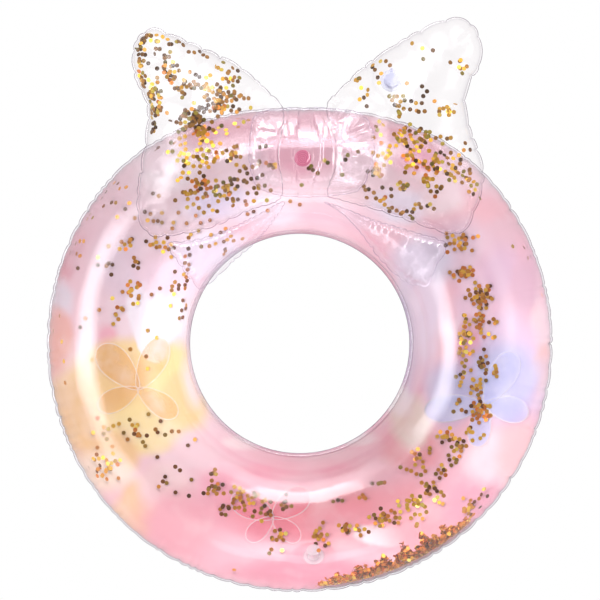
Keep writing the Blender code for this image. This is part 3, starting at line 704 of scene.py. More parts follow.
class Chamber:
    """One bow chamber: its outline, its seam's height and how far its films stand off the seam."""

    def __init__(self, name, points, seed, fullness, seam_height, support=ring_top, gap=REST_GAP,
                 squeeze=np.ones_like, fan=1.0, teeth=False):
        self.name = name
        self.fullness = fullness
        self.seam_height = seam_height
        self.support = support
        self.gap = gap
        self.squeeze = squeeze
        self.fan = fan
        self.outline = smooth_outline(points, BOW_STEP)
        self.level = swell_level(self.outline + BOW_FLANGE * outline_normals(self.outline))
        rng = np.random.default_rng(seed)
        total = self.nearest(np.zeros(1), np.zeros(1))[4]
        reaches, steps = TOOTH_SPACING if teeth else NOTCH_SPACING

        def spacing(run):
            spot = self.outline[int(run / total * len(self.outline)) % len(self.outline)]
            return float(np.interp(math.hypot(*(spot - WELD_SPOT)), reaches, steps))

        stops, lengths = seam_stops(total, spacing, rng)
        depths = rng.uniform(0.5, 1.25, len(lengths))
        depths = depths * np.clip(lengths / (22 * MM), 0.9 if teeth else 0.4, 1.2)
        self.notches = stops, lengths, depths
        self.phase = rng.uniform(0, TAU, 8)

    def nearest(self, x, y):
        return nearest(self.outline, x, y)

    def inside(self, x, y):
        return inside(self.outline, x, y)

    def seam(self, x, y):
        return np.maximum(self.seam_height(x, y), self.support(x, y) + self.gap + FILM + WELD_GAP)

    def rise(self, x, y):
        """How far a film stands off the seam, with the round shoulder a membrane has at its edge."""
        off, run, nx, ny, _ = self.nearest(x, y)
        depth = np.clip(np.where(self.inside(x, y), off, 0) - BOW_FLANGE, 0, None)
        push = np.clip(SHOULDER - depth, 0, None)
        level = on_grid(self.level, x + nx * push, y + ny * push) * np.minimum(1, depth / SHOULDER)
        height = np.sqrt(2 * level) * self.fullness * self.squeeze(x)
        narrow, broad, _, deep = scallops(*self.notches, run)
        sink = deep * (0.30 * narrow * np.exp(-depth / (9 * MM)) + 0.24 * broad * np.exp(-depth / (22 * MM)))
        return height * (1 - sink) + self.fan * self.pleats(x, y) * smoothstep(depth, 0, 12 * MM)

    def kept_inside(self, x, y, margin):
        """Moves points to at least a margin inside the outline."""
        off, _, nx, ny, _ = self.nearest(x, y)
        push = np.where(self.inside(x, y), np.clip(margin - off, 0, None), margin + off)
        return x + nx * push, y + ny * push

    def pleats(self, x, y):
        """Folds that fan out from the knot and die away."""
        dx, dy = x - WELD_SPOT[0], y - WELD_SPOT[1]
        off = np.hypot(dx, dy)
        angle = np.arctan2(dy, dx)
        folds = (np.sin(19 * angle + self.phase[0]) + 0.6 * np.sin(31 * angle + self.phase[1])
                 + 0.4 * np.sin(47 * angle + self.phase[2]))
        fade = np.exp(-np.clip(off - 70 * MM, 0, None) / (55 * MM)) * smoothstep(off, 40 * MM, 75 * MM)
        return 0.9 * MM * folds * fade

    def heights(self, x, y):
        seam = self.seam(x, y)
        rise = self.rise(x, y)
        front = seam + WELD_GAP / 2 + rise
        back = np.maximum(seam - WELD_GAP / 2 - rise, self.support(x, y) + self.gap + FILM)
        return seam, front, back

    def flat_mesh(self, fill_step, hole=None):
        """Flat points and triangles: rings that follow the seam, then an even fill."""
        normals = outline_normals(self.outline)
        points, edges = [], []
        for depth, stride in RIM_LOOPS:
            loop = self.outline + depth * MM * normals
            keep = (self.nearest(*loop.T)[0] > 0.96 * depth * MM) & self.inside(*loop.T)
            points += [p for i, p in enumerate(loop) if keep[i] and i % stride == 0]
        low, high = self.outline.min(axis=0), self.outline.max(axis=0)
        rows = enumerate(np.arange(low[1], high[1], fill_step * math.sqrt(3) / 2))
        fill = np.array([(x, y) for number, y in rows
                         for x in np.arange(low[0] + number % 2 * fill_step / 2, high[0], fill_step)])
        keep = self.inside(*fill.T) & (self.nearest(*fill.T)[0] > FILL_FROM)
        if hole:
            keep &= np.hypot(*(fill - hole).T) > VALVE_FLAT + 2 * MM
            for radius in (FLANGE_RADIUS - 1 * MM, VALVE_HOLE + 1 * MM, VALVE_FLAT):
                first = len(self.outline) + len(points)
                points += [(hole[0] + x, hole[1] + y) for x, y in circle(radius, LATHE_STEPS)]
                edges += [(first + k, first + (k + 1) % LATHE_STEPS) for k in range(LATHE_STEPS)]
        flat, faces = triangulated(self.outline, [*points, *fill[keep]], edges)
        if hole:
            opening = (FLANGE_RADIUS - 1 * MM) * 0.997
            faces = [face for face in faces if math.hypot(*(flat[face].mean(axis=0) - hole)) >= opening]
        used = np.zeros(len(flat), dtype=bool)
        used[np.concatenate(faces)] = True
        renumber = np.cumsum(used) - 1
        return flat[used], [[int(renumber[i]) for i in face] for face in faces]

    def ruffled(self, x, y):
        """Moves seam points in at each notch and up and down between them."""
        off, run, nx, ny, _ = self.nearest(x, y)
        narrow, _, wave, deep = scallops(*self.notches, run)
        pull = BOW_NOTCH * deep * narrow * np.clip(1 - off / (8 * MM), 0, 1)
        lift = 0.7 * MM * deep * wave * np.clip(1 - off / (5 * MM), 0, 1)
        return x + nx * pull, y + ny * pull, lift

    def film(self, side, material, hole=None, shape=None):
        flat, faces = self.flat_mesh(KNOT_FILL if shape else BOW_FILL, hole)
        x, y = flat.T
        height = self.heights(x, y)[1 if side == "front" else 2]
        if hole:
            level = self.heights(*np.array([hole]).T)[2][0]
            off = np.hypot(x - hole[0], y - hole[1])
            hold = 1 - smoothstep(off, VALVE_FLAT, VALVE_FLAT + 10 * MM)
            height = height * (1 - hold) + (level - FILM / 2) * hold
        if shape:
            height = shape(x, y, height)
        px, py, lift = self.ruffled(x, y)
        if side == "back":
            faces = [face[::-1] for face in faces]
        points = np.column_stack([px, py + RING_Y, height + lift])
        made = add_mesh(f"{self.name}_{side}", points, faces, material)
        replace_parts(made, f"{self.name}_{side}_film")

    def bead(self, material):
        """The squeezed-out rim of the weld, a fine round line along the outline."""
        x, y = self.outline.T
        px, py, lift = self.ruffled(x, y)
        centre = np.column_stack([px, py + RING_Y, self.seam(x, y) + lift])
        tube_along(self.name + "_weld_bead", centre, BEAD_RADIUS, material)


def circle(radius, count, start=0.0):
    """Points round a circle about the origin."""
    turns = [start + TAU * k / count for k in range(count)]
    return [(radius * math.cos(turn), radius * math.sin(turn)) for turn in turns]


def tube_along(name, centre, radius, material):
    """A closed thin tube round a loop of points."""
    ahead = np.roll(centre, -1, axis=0) - np.roll(centre, 1, axis=0)
    ahead /= np.linalg.norm(ahead, axis=1)[:, None]
    side = np.cross(ahead, [0, 0, 1])
    side /= np.linalg.norm(side, axis=1)[:, None]
    up = np.cross(side, ahead)
    rails = [centre + side * a + up * b for a, b in circle(radius, BEAD_SIDES)]
    points = np.stack(rails, axis=1).reshape(-1, 3)
    faces = stacked(len(centre), BEAD_SIDES)
    last = len(points) - BEAD_SIDES
    faces += bridge(range(last, last + BEAD_SIDES), range(BEAD_SIDES))
    add_mesh(name, points, faces, material)


# ---------------------------------------------------------------- glitter

# Patches of glitter in the ring, as seen over its seam plane: x, y, spread x, spread y, count, tone
RING_PATCHES = [
    (220, 137, 11, 8, 26, "w"), (226, 97, 8, 4, 25, "o"), (247, 65, 7, 8, 45, "w"),
    (245, 31, 4, 9, 20, "o"), (225, 2, 4, 19, 44, "g"), (250, -27, 4, 6, 14, "d"),
    (266, 31, 4, 3, 4, "w"), (261, 9, 3, 2, 3, "g"), (266, -39, 3, 4, 6, "g"),
    (241, -61, 4, 8, 16, "w"), (221, -47, 4, 5, 5, "m"), (248, -91, 7, 7, 40, "o"),
    (218, -89, 8, 7, 6, "m"), (198, -121, 7, 5, 12, "w"), (232, -117, 4, 4, 5, "g"),
    (243, -132, 6, 3, 3, "g"), (218, -137, 7, 7, 16, "m"), (212, -160, 5, 3, 5, "g"),
    (177, -141, 4, 4, 3, "m"), (160, -153, 5, 4, 9, "o"), (164, -175, 4, 4, 4, "m"),
    (145, -170, 4, 3, 3, "m"), (195, -175, 7, 5, 9, "w"), (108, -192, 6, 3, 4, "m"),
    (177, -198, 8, 5, 14, "d"), (195, -211, 4, 6, 6, "g"), (85, -208, 4, 3, 4, "o"),
    (50, -215, 5, 2, 3, "d"), (153, -219, 10, 5, 20, "g"), (162, -243, 6, 6, 7, "g"),
    (113, -238, 10, 6, 26, "w"), (70, -256, 9, 4, 18, "w"), (28, -263, 5, 9, 16, "w"),
    (236, -228, 6, 8, 24, "w"), (254, -205, 5, 3, 4, "d"), (-266, -123, 9, 5, 9, "g"),
    (-224, -122, 3, 5, 8, "o"), (-270, -166, 11, 11, 28, "w"), (-205, -135, 32, 26, 18, "m"),
    (-119, -177, 3, 3, 4, "m"), (-115, -198, 8, 5, 18, "d"), (-98, -230, 5, 4, 7, "d"),
    (-71, -209, 12, 5, 24, "w"), (-45, -230, 6, 4, 9, "d"), (-18, -219, 5, 4, 8, "d"),
    (-28, -261, 4, 5, 12, "m"), (-80, -224, 20, 6, 5, "m"), (-60, -290, 40, 8, 4, "m"),
    (-165, -195, 24, 20, 7, "d"), (-236, 137, 6, 6, 9, "w"), (-196, 137, 5, 5, 7, "w"),
    (-180, 128, 7, 7, 7, "m"), (-223, 109, 2, 5, 6, "w"), (-260, 110, 3, 2, 3, "m"),
    (-228, 76, 7, 5, 13, "o"), (-172, 74, 6, 7, 7, "d"), (-154, 80, 3, 22, 14, "d"),
    (-221, 57, 3, 3, 3, "m"), (-244, 48, 3, 2, 4, "o"), (-252, 33, 4, 7, 4, "m"),
    (-190, 40, 26, 16, 6, "d"), (-215, -20, 26, 20, 6, "g"), (-262, 96, 20, 26, 5, "m"),
    (-205, 175, 30, 14, 16, "m"), (-130, 150, 26, 16, 14, "d"), (-100, 135, 18, 10, 8, "m"),
    (-60, 190, 14, 8, 4, "d"), (0, 190, 30, 8, 4, "d"), (-300, 60, 12, 70, 6, "d"),
]

# Discs that cling to the steep outer wall: start angle, end angle, count
WALL_DISCS = [(137, 160, 15), (-72, -60, 8), (-12, 40, 5), (100, 130, 7), (172, 215, 8)]

# Patches of glitter in the loops, as seen over the ring's crest
LOOP_PATCHES = [
    (-212, 398, 4, 10, 20, "d"), (-193, 407, 8, 3, 6, "g"), (-212, 376, 4, 5, 9, "m"),
    (-188, 394, 2, 8, 5, "d"), (-166, 403, 9, 4, 9, "d"), (-143, 388, 10, 2, 5, "d"),
    (-175, 381, 3, 3, 6, "d"), (-210, 350, 4, 9, 16, "m"), (-174, 361, 9, 7, 22, "w"),
    (-195, 333, 5, 6, 18, "m"), (-193, 316, 7, 8, 22, "m"), (-193, 297, 4, 7, 12, "d"),
    (-152, 340, 7, 6, 18, "m"), (-139, 353, 7, 6, 4, "d"), (-116, 336, 14, 6, 20, "m"),
    (-95, 354, 11, 8, 18, "m"), (-96, 322, 14, 9, 46, "d"), (-108, 316, 6, 5, 14, "o"),
    (-140, 297, 10, 10, 60, "d"), (-129, 279, 5, 6, 26, "o"), (-100, 290, 12, 8, 8, "g"),
    (-151, 245, 7, 13, 22, "g"), (-124, 248, 12, 10, 20, "g"), (-86, 251, 7, 7, 14, "w"),
    (-40, 238, 12, 2, 11, "o"), (-76, 218, 10, 7, 16, "d"), (-129, 208, 7, 7, 24, "o"),
    (-146, 201, 5, 4, 8, "w"), (-100, 201, 8, 8, 24, "g"), (-50, 209, 4, 4, 6, "m"),
    (-108, 182, 30, 8, 10, "g"), (-180, 240, 16, 28, 6, "m"),
    (102, 371, 9, 4, 6, "d"), (71, 353, 3, 4, 4, "g"), (83, 330, 8, 8, 6, "m"),
    (101, 353, 2, 3, 4, "w"), (163, 333, 10, 9, 5, "d"), (127, 322, 5, 5, 8, "g"),
    (131, 310, 4, 5, 7, "m"), (149, 309, 7, 9, 8, "d"), (196, 310, 5, 4, 14, "g"),
    (166, 278, 6, 5, 8, "m"), (105, 280, 4, 7, 7, "g"), (138, 274, 7, 8, 26, "w"),
    (160, 270, 10, 6, 14, "w"), (148, 247, 5, 6, 15, "o"), (109, 253, 8, 6, 9, "g"),
    (148, 232, 5, 4, 7, "w"), (179, 236, 8, 8, 28, "w"), (101, 228, 4, 4, 16, "o"),
    (204, 224, 6, 5, 12, "g"), (203, 243, 7, 8, 7, "m"), (168, 217, 4, 5, 10, "g"),
    (136, 209, 5, 3, 10, "m"), (97, 208, 8, 4, 6, "d"), (227, 213, 6, 8, 14, "m"),
    (185, 205, 8, 5, 6, "m"), (200, 265, 14, 12, 6, "m"), (163, 182, 6, 3, 7, "g"),
    (123, 177, 5, 2, 5, "d"), (142, 172, 6, 3, 6, "d"), (110, 189, 9, 4, 8, "g"),
    (156, 389, 14, 9, 4, "m"), (205, 372, 10, 6, 4, "m"), (217, 366, 4, 7, 4, "d"),
]
KNOT_PATCHES = [
    (18, 230, 3, 6, 4, "d"), (36, 240, 3, 3, 2, "g"), (-52, 258, 5, 5, 2, "m"),
    (72, 244, 12, 14, 4, "d"), (2, 208, 4, 2, 1, "d"),
]

TONES = {
    "gold": ("F2BE48", "DCA030"),
    "bronze": ("D8943A", "B87426"),
    "olive": ("B48C38", "8E6C24"),
    "copper": ("E88C3C", "CC6E22"),
    "umber": ("8E5626", "5E3612"),
    "straw": ("FFE878", "F4CC50"),
}
# The ring's foil tones made darker for the discs in the bow: painted shade
BOW_SHADED_TONES = {
    "gold": ("E2AE40", "BA8622"),
    "bronze": ("AA762E", "7E541C"),
    "olive": ("9A8630", "6E5E18"),
    "copper": ("DC8434", "B4601A"),
    "umber": ("6E4A20", "4A3014"),
    "straw": ("F6DE74", "D8B040"),
}
TONE_MIX = {
    "m": (0.22, 0.36, 0.18, 0.02, 0.18, 0.04),
    "d": (0.04, 0.32, 0.20, 0.01, 0.42, 0.01),
    "w": (0.34, 0.34, 0.06, 0.10, 0.14, 0.02),
    "o": (0.32, 0.24, 0.00, 0.32, 0.10, 0.02),
    "g": (0.50, 0.18, 0.14, 0.04, 0.02, 0.12),
    "c": (0.24, 0.32, 0.00, 0.34, 0.07, 0.03),
}
DISC_SIDES = 10
DISC_HALF = 0.12 * MM
DISC_CLEAR = 5.2 * MM
DISC_SKIN = 0.6 * MM
VALVE_CLEAR = 22 * MM
TRIES = 3
# How far discs lean with their film, how much they tilt at random, and the share on the front film
RING_LEAN = 0.5
BOW_LEAN = 0.6
RING_TILT = 0.12
BOW_TILT = 0.10
RING_FRONT_SHARE = 0.45
BOW_FRONT_SHARE = 0.4


class Glitter:
    """Collects discs by tone, then makes one object for each tone."""

    def __init__(self, prefix, seed):
        self.prefix = prefix
        self.rng = np.random.default_rng(seed)
        self.discs = {tone: [] for tone in TONES}
        self.taken = []

    def scatter(self, patches):
        """Each disc's place as seen, with its patch's tone mix; few lie over a neighbour."""
        placed = []
        for x, y, spread_x, spread_y, count, mix in patches:
            for _ in range(count):
                for _ in range(TRIES):
                    spot = ((x + self.rng.normal(0, spread_x)) * MM, (y + self.rng.normal(0, spread_y)) * MM)
                    if not self.crowded(*spot):
                        break
                self.taken.append(spot)
                placed.append((spot, mix))
        return placed

    def crowded(self, x, y):
        """Whether a disc seen from above would lie over a neighbour."""
        return any((x - u) ** 2 + (y - v) ** 2 < DISC_CLEAR ** 2 for u, v in self.taken)

    def add(self, wall_point, wall, depth, facing, tilt, mix):
        """A disc at a depth under the film, or deeper if its tilted rim would pass through the film."""
        tone = list(TONES)[int(self.rng.choice(len(TONES), p=TONE_MIX[mix]))]
        outward = np.array(facing) / np.linalg.norm(facing) + self.rng.normal(0, tilt, 3)
        outward /= np.linalg.norm(outward)
        lean = min(abs(float(np.dot(outward, wall))), 1.0)
        least = DISC_RADIUS * math.sqrt(1 - lean ** 2) + DISC_SKIN
        point = np.array(wall_point) - np.array(wall) * max(depth, least)
        first = np.cross(outward, [0.31, 0.62, 0.72])
        first /= np.linalg.norm(first)
        second = np.cross(outward, first)
        self.discs[tone].append((point, outward, first, second, self.rng.uniform(0, TAU)))

    def build(self, materials, replaced):
        made = []
        for tone, discs in self.discs.items():
            points, faces = [], []
            for centre, outward, first, second, turn in discs:
                low = range(len(points), len(points) + DISC_SIDES)
                high = range(low.stop, low.stop + DISC_SIDES)
                for lift in (-DISC_HALF, DISC_HALF):
                    points += [centre + first * a + second * b + outward * lift
                               for a, b in circle(DISC_RADIUS, DISC_SIDES, turn)]
                faces += [list(low)[::-1], list(high), *bridge(low, high)]
            made.append(add_mesh(f"{self.prefix}_glitter_{tone}", points, faces, materials[tone],
                                 smooth=False))
        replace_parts(made[0], *replaced)


def tube_wall(x, y, front):
    """Height and outward normal of the ring's film over x, y."""
    width, off = across_tube(x, y)
    off = min(max(float(off), -0.975), 0.975)
    rise = math.copysign(math.sqrt(1 - off * off), 1 if front else -1)
    turn = math.atan2(y, x)
    normal = np.array([math.cos(turn) * off / width, math.sin(turn) * off / width,
                       rise / TUBE_HALF_HEIGHT])
    return SEAM_Z + TUBE_HALF_HEIGHT * rise, normal / np.linalg.norm(normal)


def as_seen(x, y, height, level):
    """The place at a height that a viewer above the ring sees over x, y at a level (above the seam)."""
    share = (CAMERA_HEIGHT - height) / (CAMERA_HEIGHT - level)
    return (CAMERA_SHIFT[0] + (x - CAMERA_SHIFT[0]) * share,
            CAMERA_SHIFT[1] + (y - CAMERA_SHIFT[1]) * share)


def within_tube(x, y):
    """Keeps a disc clear of both seams."""
    reach = math.hypot(x, y)
    low, high = HOLE_REACH + INNER_SEAM + 5 * MM, RING_REACH - OUTER_SEAM - 9 * MM
    clamped = min(max(reach, low), high)
    return x * clamped / reach, y * clamped / reach


def ring_glitter(materials):
    glitter = Glitter("ring", 21)
    rng = glitter.rng
    low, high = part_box("ring_valve_flange")
    valve_x, valve_y = (low.x + high.x) / 2, (low.y + high.y) / 2 - RING_Y
    for seen, mix in glitter.scatter(RING_PATCHES):
        by_valve = math.hypot(seen[0] - valve_x, seen[1] - valve_y) < VALVE_CLEAR
        front = rng.random() < RING_FRONT_SHARE or by_valve
        px, py = within_tube(*seen)
        for _ in range(4):
            height, _ = tube_wall(px, py, front)
            px, py = within_tube(*as_seen(*seen, height - SEAM_Z, 0.0))
        height, normal = tube_wall(px, py, front)
        depth = rng.uniform(0.8, 3.0) * MM
        glitter.add([px, py + RING_Y, max(height, 0.001)], normal, depth,
                    normal * [RING_LEAN, RING_LEAN, 1], RING_TILT, mix)
    for start, end, count in WALL_DISCS:
        for _ in range(count):
            turn = math.radians(rng.uniform(start, end))
            roll = math.radians(rng.uniform(-20, 45))
            put_on_wall(glitter, turn, roll, 1.5 * MM, RING_TILT, "d")
    drift(glitter)
    glitter.build(materials, ["confetti_heap"] + [f"ring_confetti_{i:02d}" for i in range(1, 11)])


def put_on_wall(glitter, turn, roll, depth, tilt, mix):
    reach = CREST_RADIUS + float(outer_width(np.array(turn))) * math.cos(roll)
    height = SEAM_Z + TUBE_HALF_HEIGHT * math.sin(roll)
    normal = [math.cos(turn) * math.cos(roll), math.sin(turn) * math.cos(roll), math.sin(roll)]
    spot = [reach * math.cos(turn), reach * math.sin(turn) + RING_Y, height]
    glitter.add(spot, normal, depth, normal, tilt, mix)


DRIFT_START = math.radians(-86)
DRIFT_END = math.radians(-46)
DRIFT_COUNT = 1500
DRIFT_THICK = 31 * MM
DRIFT_TILT = 0.7


def drift(glitter):
    """The heap that lies along the outer wall at the lower right, thickest past its middle."""
    rng = glitter.rng
    for _ in range(DRIFT_COUNT):
        part = rng.beta(1.6, 1.5)
        turn = DRIFT_START + (DRIFT_END - DRIFT_START) * part
        body = math.sin(math.pi * min(max(part, 0.02), 0.98)) ** 0.6
        lumps = 0.75 + 0.35 * math.sin(turn * 61) + 0.2 * math.sin(turn * 137 + 1)
        thick = DRIFT_THICK * body * lumps * (0.55 + 0.5 * part)
        depth = thick * rng.random() ** 1.1 - 1.5 * MM
        roll = math.radians(rng.normal(4, 9))
        put_on_wall(glitter, turn, roll, depth, DRIFT_TILT, "c")


def lay_in_chamber(glitter, chamber, patches):
    """Lays discs against a bow chamber's films, so that they are seen where they were placed."""
    rng = glitter.rng
    placed = glitter.scatter(patches)
    seen_x, seen_y = np.array([spot for spot, _ in placed]).T
    margin = rng.uniform(4.5, 8, len(placed)) * MM
    by_valve = np.hypot(seen_x - BOW_VALVE[0], seen_y - BOW_VALVE[1]) < VALVE_CLEAR
    on_front = (rng.random(len(placed)) < BOW_FRONT_SHARE) | by_valve

    def sheet(x, y):
        _, front, back = chamber.heights(x, y)
        return np.where(on_front, front, back), front - back

    px, py = chamber.kept_inside(seen_x, seen_y, margin)
    for _ in range(3):
        height, _ = sheet(px, py)
        px, py = chamber.kept_inside(*as_seen(seen_x, seen_y, height - SEAM_Z, CREST_Z - SEAM_Z), margin)
    height, room = sheet(px, py)
    step = 0.5 * MM
    slope_x = (sheet(px + step, py)[0] - height) / step
    slope_y = (sheet(px, py + step)[0] - height) / step
    for i, (_, mix) in enumerate(placed):
        if room[i] < 2 * MM:
            continue
        wall = np.array([-slope_x[i], -slope_y[i], 1]) * (1 if on_front[i] else -1)
        wall /= np.linalg.norm(wall)
        depth = min(rng.uniform(0.7, 2.6) * MM, room[i] / 2)
        glitter.add([px[i], py[i] + RING_Y, height[i]], wall, depth,
                    wall * [BOW_LEAN, BOW_LEAN, 1], BOW_TILT, mix)


def bow_glitter(chambers, materials):
    glitter = Glitter("bow", 33)
    lay_in_chamber(glitter, chambers["left_loop"], [p for p in LOOP_PATCHES if p[0] < 0])
    lay_in_chamber(glitter, chambers["right_loop"], [p for p in LOOP_PATCHES if p[0] > 0])
    lay_in_chamber(glitter, chambers["knot"], KNOT_PATCHES)
    glitter.build(materials, [f"{s}_loop_confetti_{i}" for s in ("left", "right") for i in (1, 2)])


# ---------------------------------------------------------------- valves

def lathe(name, profile, place, body, material):
    """Turns a closed (radius, height) profile about the place's Z axis."""
    points, rings = [], []
    for radius, height in profile:
        count = LATHE_STEPS if radius else 1
        rings.append([*range(len(points), len(points) + count)] * (LATHE_STEPS // count))
        points += [place @ Vector((x, y, height)) for x, y in circle(radius, count)]
    faces = []
    for i, ring in enumerate(rings):
        following = rings[(i + 1) % len(rings)]
        if ring[0] != ring[1] or following[0] != following[1]:
            faces += [list(dict.fromkeys(face)) for face in bridge(ring, following)]
    return add_mesh(name, points, faces, material, body=body, sharp=40)


def rounded(profile, radius, steps=4):
    """Rounds a closed profile's corners, except those on the axis."""
    made = []
    for i, corner in enumerate(profile):
        if corner[0] == 0:
            made.append(corner)
            continue
        here = Vector(corner)
        before, after = Vector(profile[i - 1]) - here, Vector(profile[(i + 1) % len(profile)]) - here
        cut = min(radius, before.length * 0.4, after.length * 0.4)
        start = here + before.normalized() * cut
        end = here + after.normalized() * cut
        for k in range(steps + 1):
            t = k / steps
            spot = start * (1 - t) ** 2 + here * 2 * t * (1 - t) + end * t ** 2
            made.append((spot.x, spot.y))
    return made


def valve(prefix, material, rim):
    """Finer flange, neck, plug, flap and strap in the places that the CAD gives."""
    joints = {j["name"]: j for j in frame["joints"]}
    outward = Vector(joints[prefix + "_neck_slide"]["axis"]).normalized()
    low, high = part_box(prefix + "_flange")
    centre = (low + high) / 2
    inner = Vector(joints[prefix + "_flap_hinge"]["pos_m"]) - centre
    place = frame_at(centre, outward, outward * inner.dot(outward) - inner)
    bore = NECK_RADIUS + RUN_GAP
    flange = [(bore, -FLANGE_HALF), (FLANGE_RADIUS, -FLANGE_HALF),
              (FLANGE_RADIUS, FLANGE_HALF * 0.5), (FLANGE_RADIUS - 1.5 * MM, FLANGE_HALF)]
    for groove in range(3):
        reach = FLANGE_RADIUS - (2.4 + groove * 1.2) * MM
        flange += [(reach, FLANGE_HALF), (reach - 0.3 * MM, FLANGE_HALF - 0.25 * MM),
                   (reach - 0.6 * MM, FLANGE_HALF)]
    flange = rounded([*flange, (bore, FLANGE_HALF)], 0.3 * MM, 2)
    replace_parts(lathe(prefix + "_flange_fine", flange, place, "float", rim), prefix + "_flange")
    collar, lip_foot = NECK_RADIUS + 1.2 * MM, FLANGE_HALF + RUN_GAP
    neck = rounded([(NECK_BORE, -NECK_DEPTH), (collar, -NECK_DEPTH), (collar, 1 * MM - NECK_DEPTH),
                    (NECK_RADIUS, 1.6 * MM - NECK_DEPTH), (NECK_RADIUS, lip_foot),
                    (LIP_RADIUS, lip_foot), (LIP_RADIUS, LIP_TOP), (NECK_BORE, LIP_TOP)], 0.5 * MM)
    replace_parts(lathe(prefix + "_neck_fine", neck, place, prefix + "_neck", material), prefix + "_neck")
    head, foot = LIP_TOP + RUN_GAP, LIP_TOP - PLUG_DEPTH
    top, dish = head + PLUG_HEAD_THICK, head + PLUG_HEAD_THICK - 0.4 * MM
    plug = rounded([(0, foot), (PLUG_SHANK, foot), (PLUG_SHANK, head), (PLUG_HEAD, head),
                    (PLUG_HEAD, top), (PLUG_HEAD - 2.4 * MM, top), (PLUG_HEAD - 3.0 * MM, dish),
                    (0, dish)], 0.4 * MM)
    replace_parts(lathe(prefix + "_plug_fine", plug, place, prefix + "_plug", material), prefix + "_plug")
    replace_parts(flap_piece(prefix, place, material), prefix + "_flap")
    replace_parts(strap_piece(prefix, place, material), prefix + "_strap")
    return place


def flap_piece(prefix, place, material):
    """The check flap: a round leaf with a thicker middle, hinged at its edge."""
    middle = -NECK_DEPTH - RUN_GAP - FLAP_THICK / 2 - 0.1 * MM
    spokes, shares = 40, (0.0, 0.45, 0.8, 0.97, 1.0)
    points, faces = [], []
    for lift in (-1, 1):
        first = len(points)
        for share in shares:
            thick = FLAP_THICK / 2 * (1.0 if share < 0.9 else 0.7)
            for x, y in circle(FLAP_RADIUS * share, spokes):
                if y < 0 and share == 1.0:
                    y -= 1 * MM * (-y / FLAP_RADIUS) ** 6
                points.append(place @ Vector((x, y, middle + lift * thick)))
        faces += [[first + i for i in face] for face in stacked(len(shares), spokes)]
    low = (len(shares) - 1) * spokes
    faces += bridge(range(low, low + spokes), range(len(points) - spokes, len(points)))
    made = add_mesh(prefix + "_flap_fine", points, faces, material, body=prefix + "_flap",
                    sharp=40)
    work = bmesh.new()
    work.from_mesh(made.data)
    bmesh.ops.remove_doubles(work, verts=work.verts, dist=1e-6)
    bmesh.ops.recalc_face_normals(work, faces=work.faces)
    work.to_mesh(made.data)
    work.free()
    return made


def strap_piece(prefix, place, material):
    """The band from the plug's head round to the neck's lip."""
    head_w = LIP_TOP + RUN_GAP + PLUG_HEAD_THICK / 2
    lip_w = FLANGE_HALF + RUN_GAP + 0.55 * MM
    start, end = PLUG_HEAD + 0.1 * MM, LIP_RADIUS + 0.2 * MM
    bend, middle = (head_w - lip_w) / 2, (head_w + lip_w) / 2
    line = [(start, head_w), (start + 3 * MM, head_w)]
    for k in range(17):
        turn = math.pi / 2 - math.pi * k / 16
        line.append((15.5 * MM + 1.4 * bend * math.cos(turn), middle + bend * math.sin(turn)))
    line += [(end + 2 * MM, lip_w), (end, lip_w)]
    section = [(1.8 * MM * math.copysign(abs(c) ** 0.4, c), 0.45 * MM * math.copysign(abs(s) ** 0.4, s))
               for c, s in circle(1, 16)]
    points = []
    for i, (y, w) in enumerate(line):
        before, after = Vector(line[max(i - 1, 0)]), Vector(line[min(i + 1, len(line) - 1)])
        run = (after - before).normalized()
        points += [place @ Vector((x, y - run.y * n, w + run.x * n)) for x, n in section]
    faces = stacked(len(line), 16)
    faces += [list(range(16))[::-1], list(range(len(points) - 16, len(points)))]
    return add_mesh(prefix + "_strap_fine", points, faces, material, body=prefix + "_plug",
                    sharp=40)


# ---------------------------------------------------------------- print motifs

def wing(centre, length, width, lean):
    """A rounded wing outline that starts at the body and swells outwards."""
    line = []
    for k in range(64):
        turn = TAU * k / 64
        out = 0.5 * (1 - math.cos(turn))
        spread = math.sin(turn) * (WING_WAIST + (1 - WING_WAIST) * out) * (1 - 0.25 * out)
        x, y = out * length, spread * width / 2
        line.append((centre[0] + x * math.cos(lean) - y * math.sin(lean),
                     centre[1] + x * math.sin(lean) + y * math.cos(lean)))
    return np.array(line) * MM


def on_back_film(flat, lift):
    """Points over the inside of the back film, pulled in from its steep outer wall."""
    x, y = flat.T
    share = (CREST_RADIUS + WING_REACH * outer_width(np.arctan2(y, x))) / np.hypot(x, y)
    x, y = x * np.minimum(1, share), y * np.minimum(1, share)
    width, off = across_tube(x, y)
    off = np.clip(off, -0.97, 0.97)
    rise = np.sqrt(1 - off ** 2)
    height = np.maximum(SEAM_Z - TUBE_HALF_HEIGHT * rise, FLOOR_CLEAR)
    slope = TUBE_HALF_HEIGHT * off / (width * rise)
    return np.column_stack([x, y + RING_Y, height + lift * np.hypot(1, slope)])


def wing_fill(name, line, material):
    """A print shape laid on the inside of the back film."""
    spans = [np.arange(low, high, 4 * MM) for low, high in zip(line.min(axis=0), line.max(axis=0))]
    fill = np.stack(np.meshgrid(*spans), axis=-1).reshape(-1, 2)
    keep = inside(line, *fill.T) & (nearest(line, *fill.T)[0] > 2 * MM)
    flat, faces = triangulated(line, fill[keep])
    add_mesh(name, on_back_film(flat, WING_LIFT), faces, material)


def wing_rim(name, line, material):
    """A thin line of print along an outline."""
    inner = line + outline_normals(line) * WING_RIM
    points = on_back_film(np.concatenate([line, inner]), WING_RIM_LIFT)
    faces = bridge(range(len(line)), range(len(line), len(points)))
    add_mesh(name, points, faces, material)


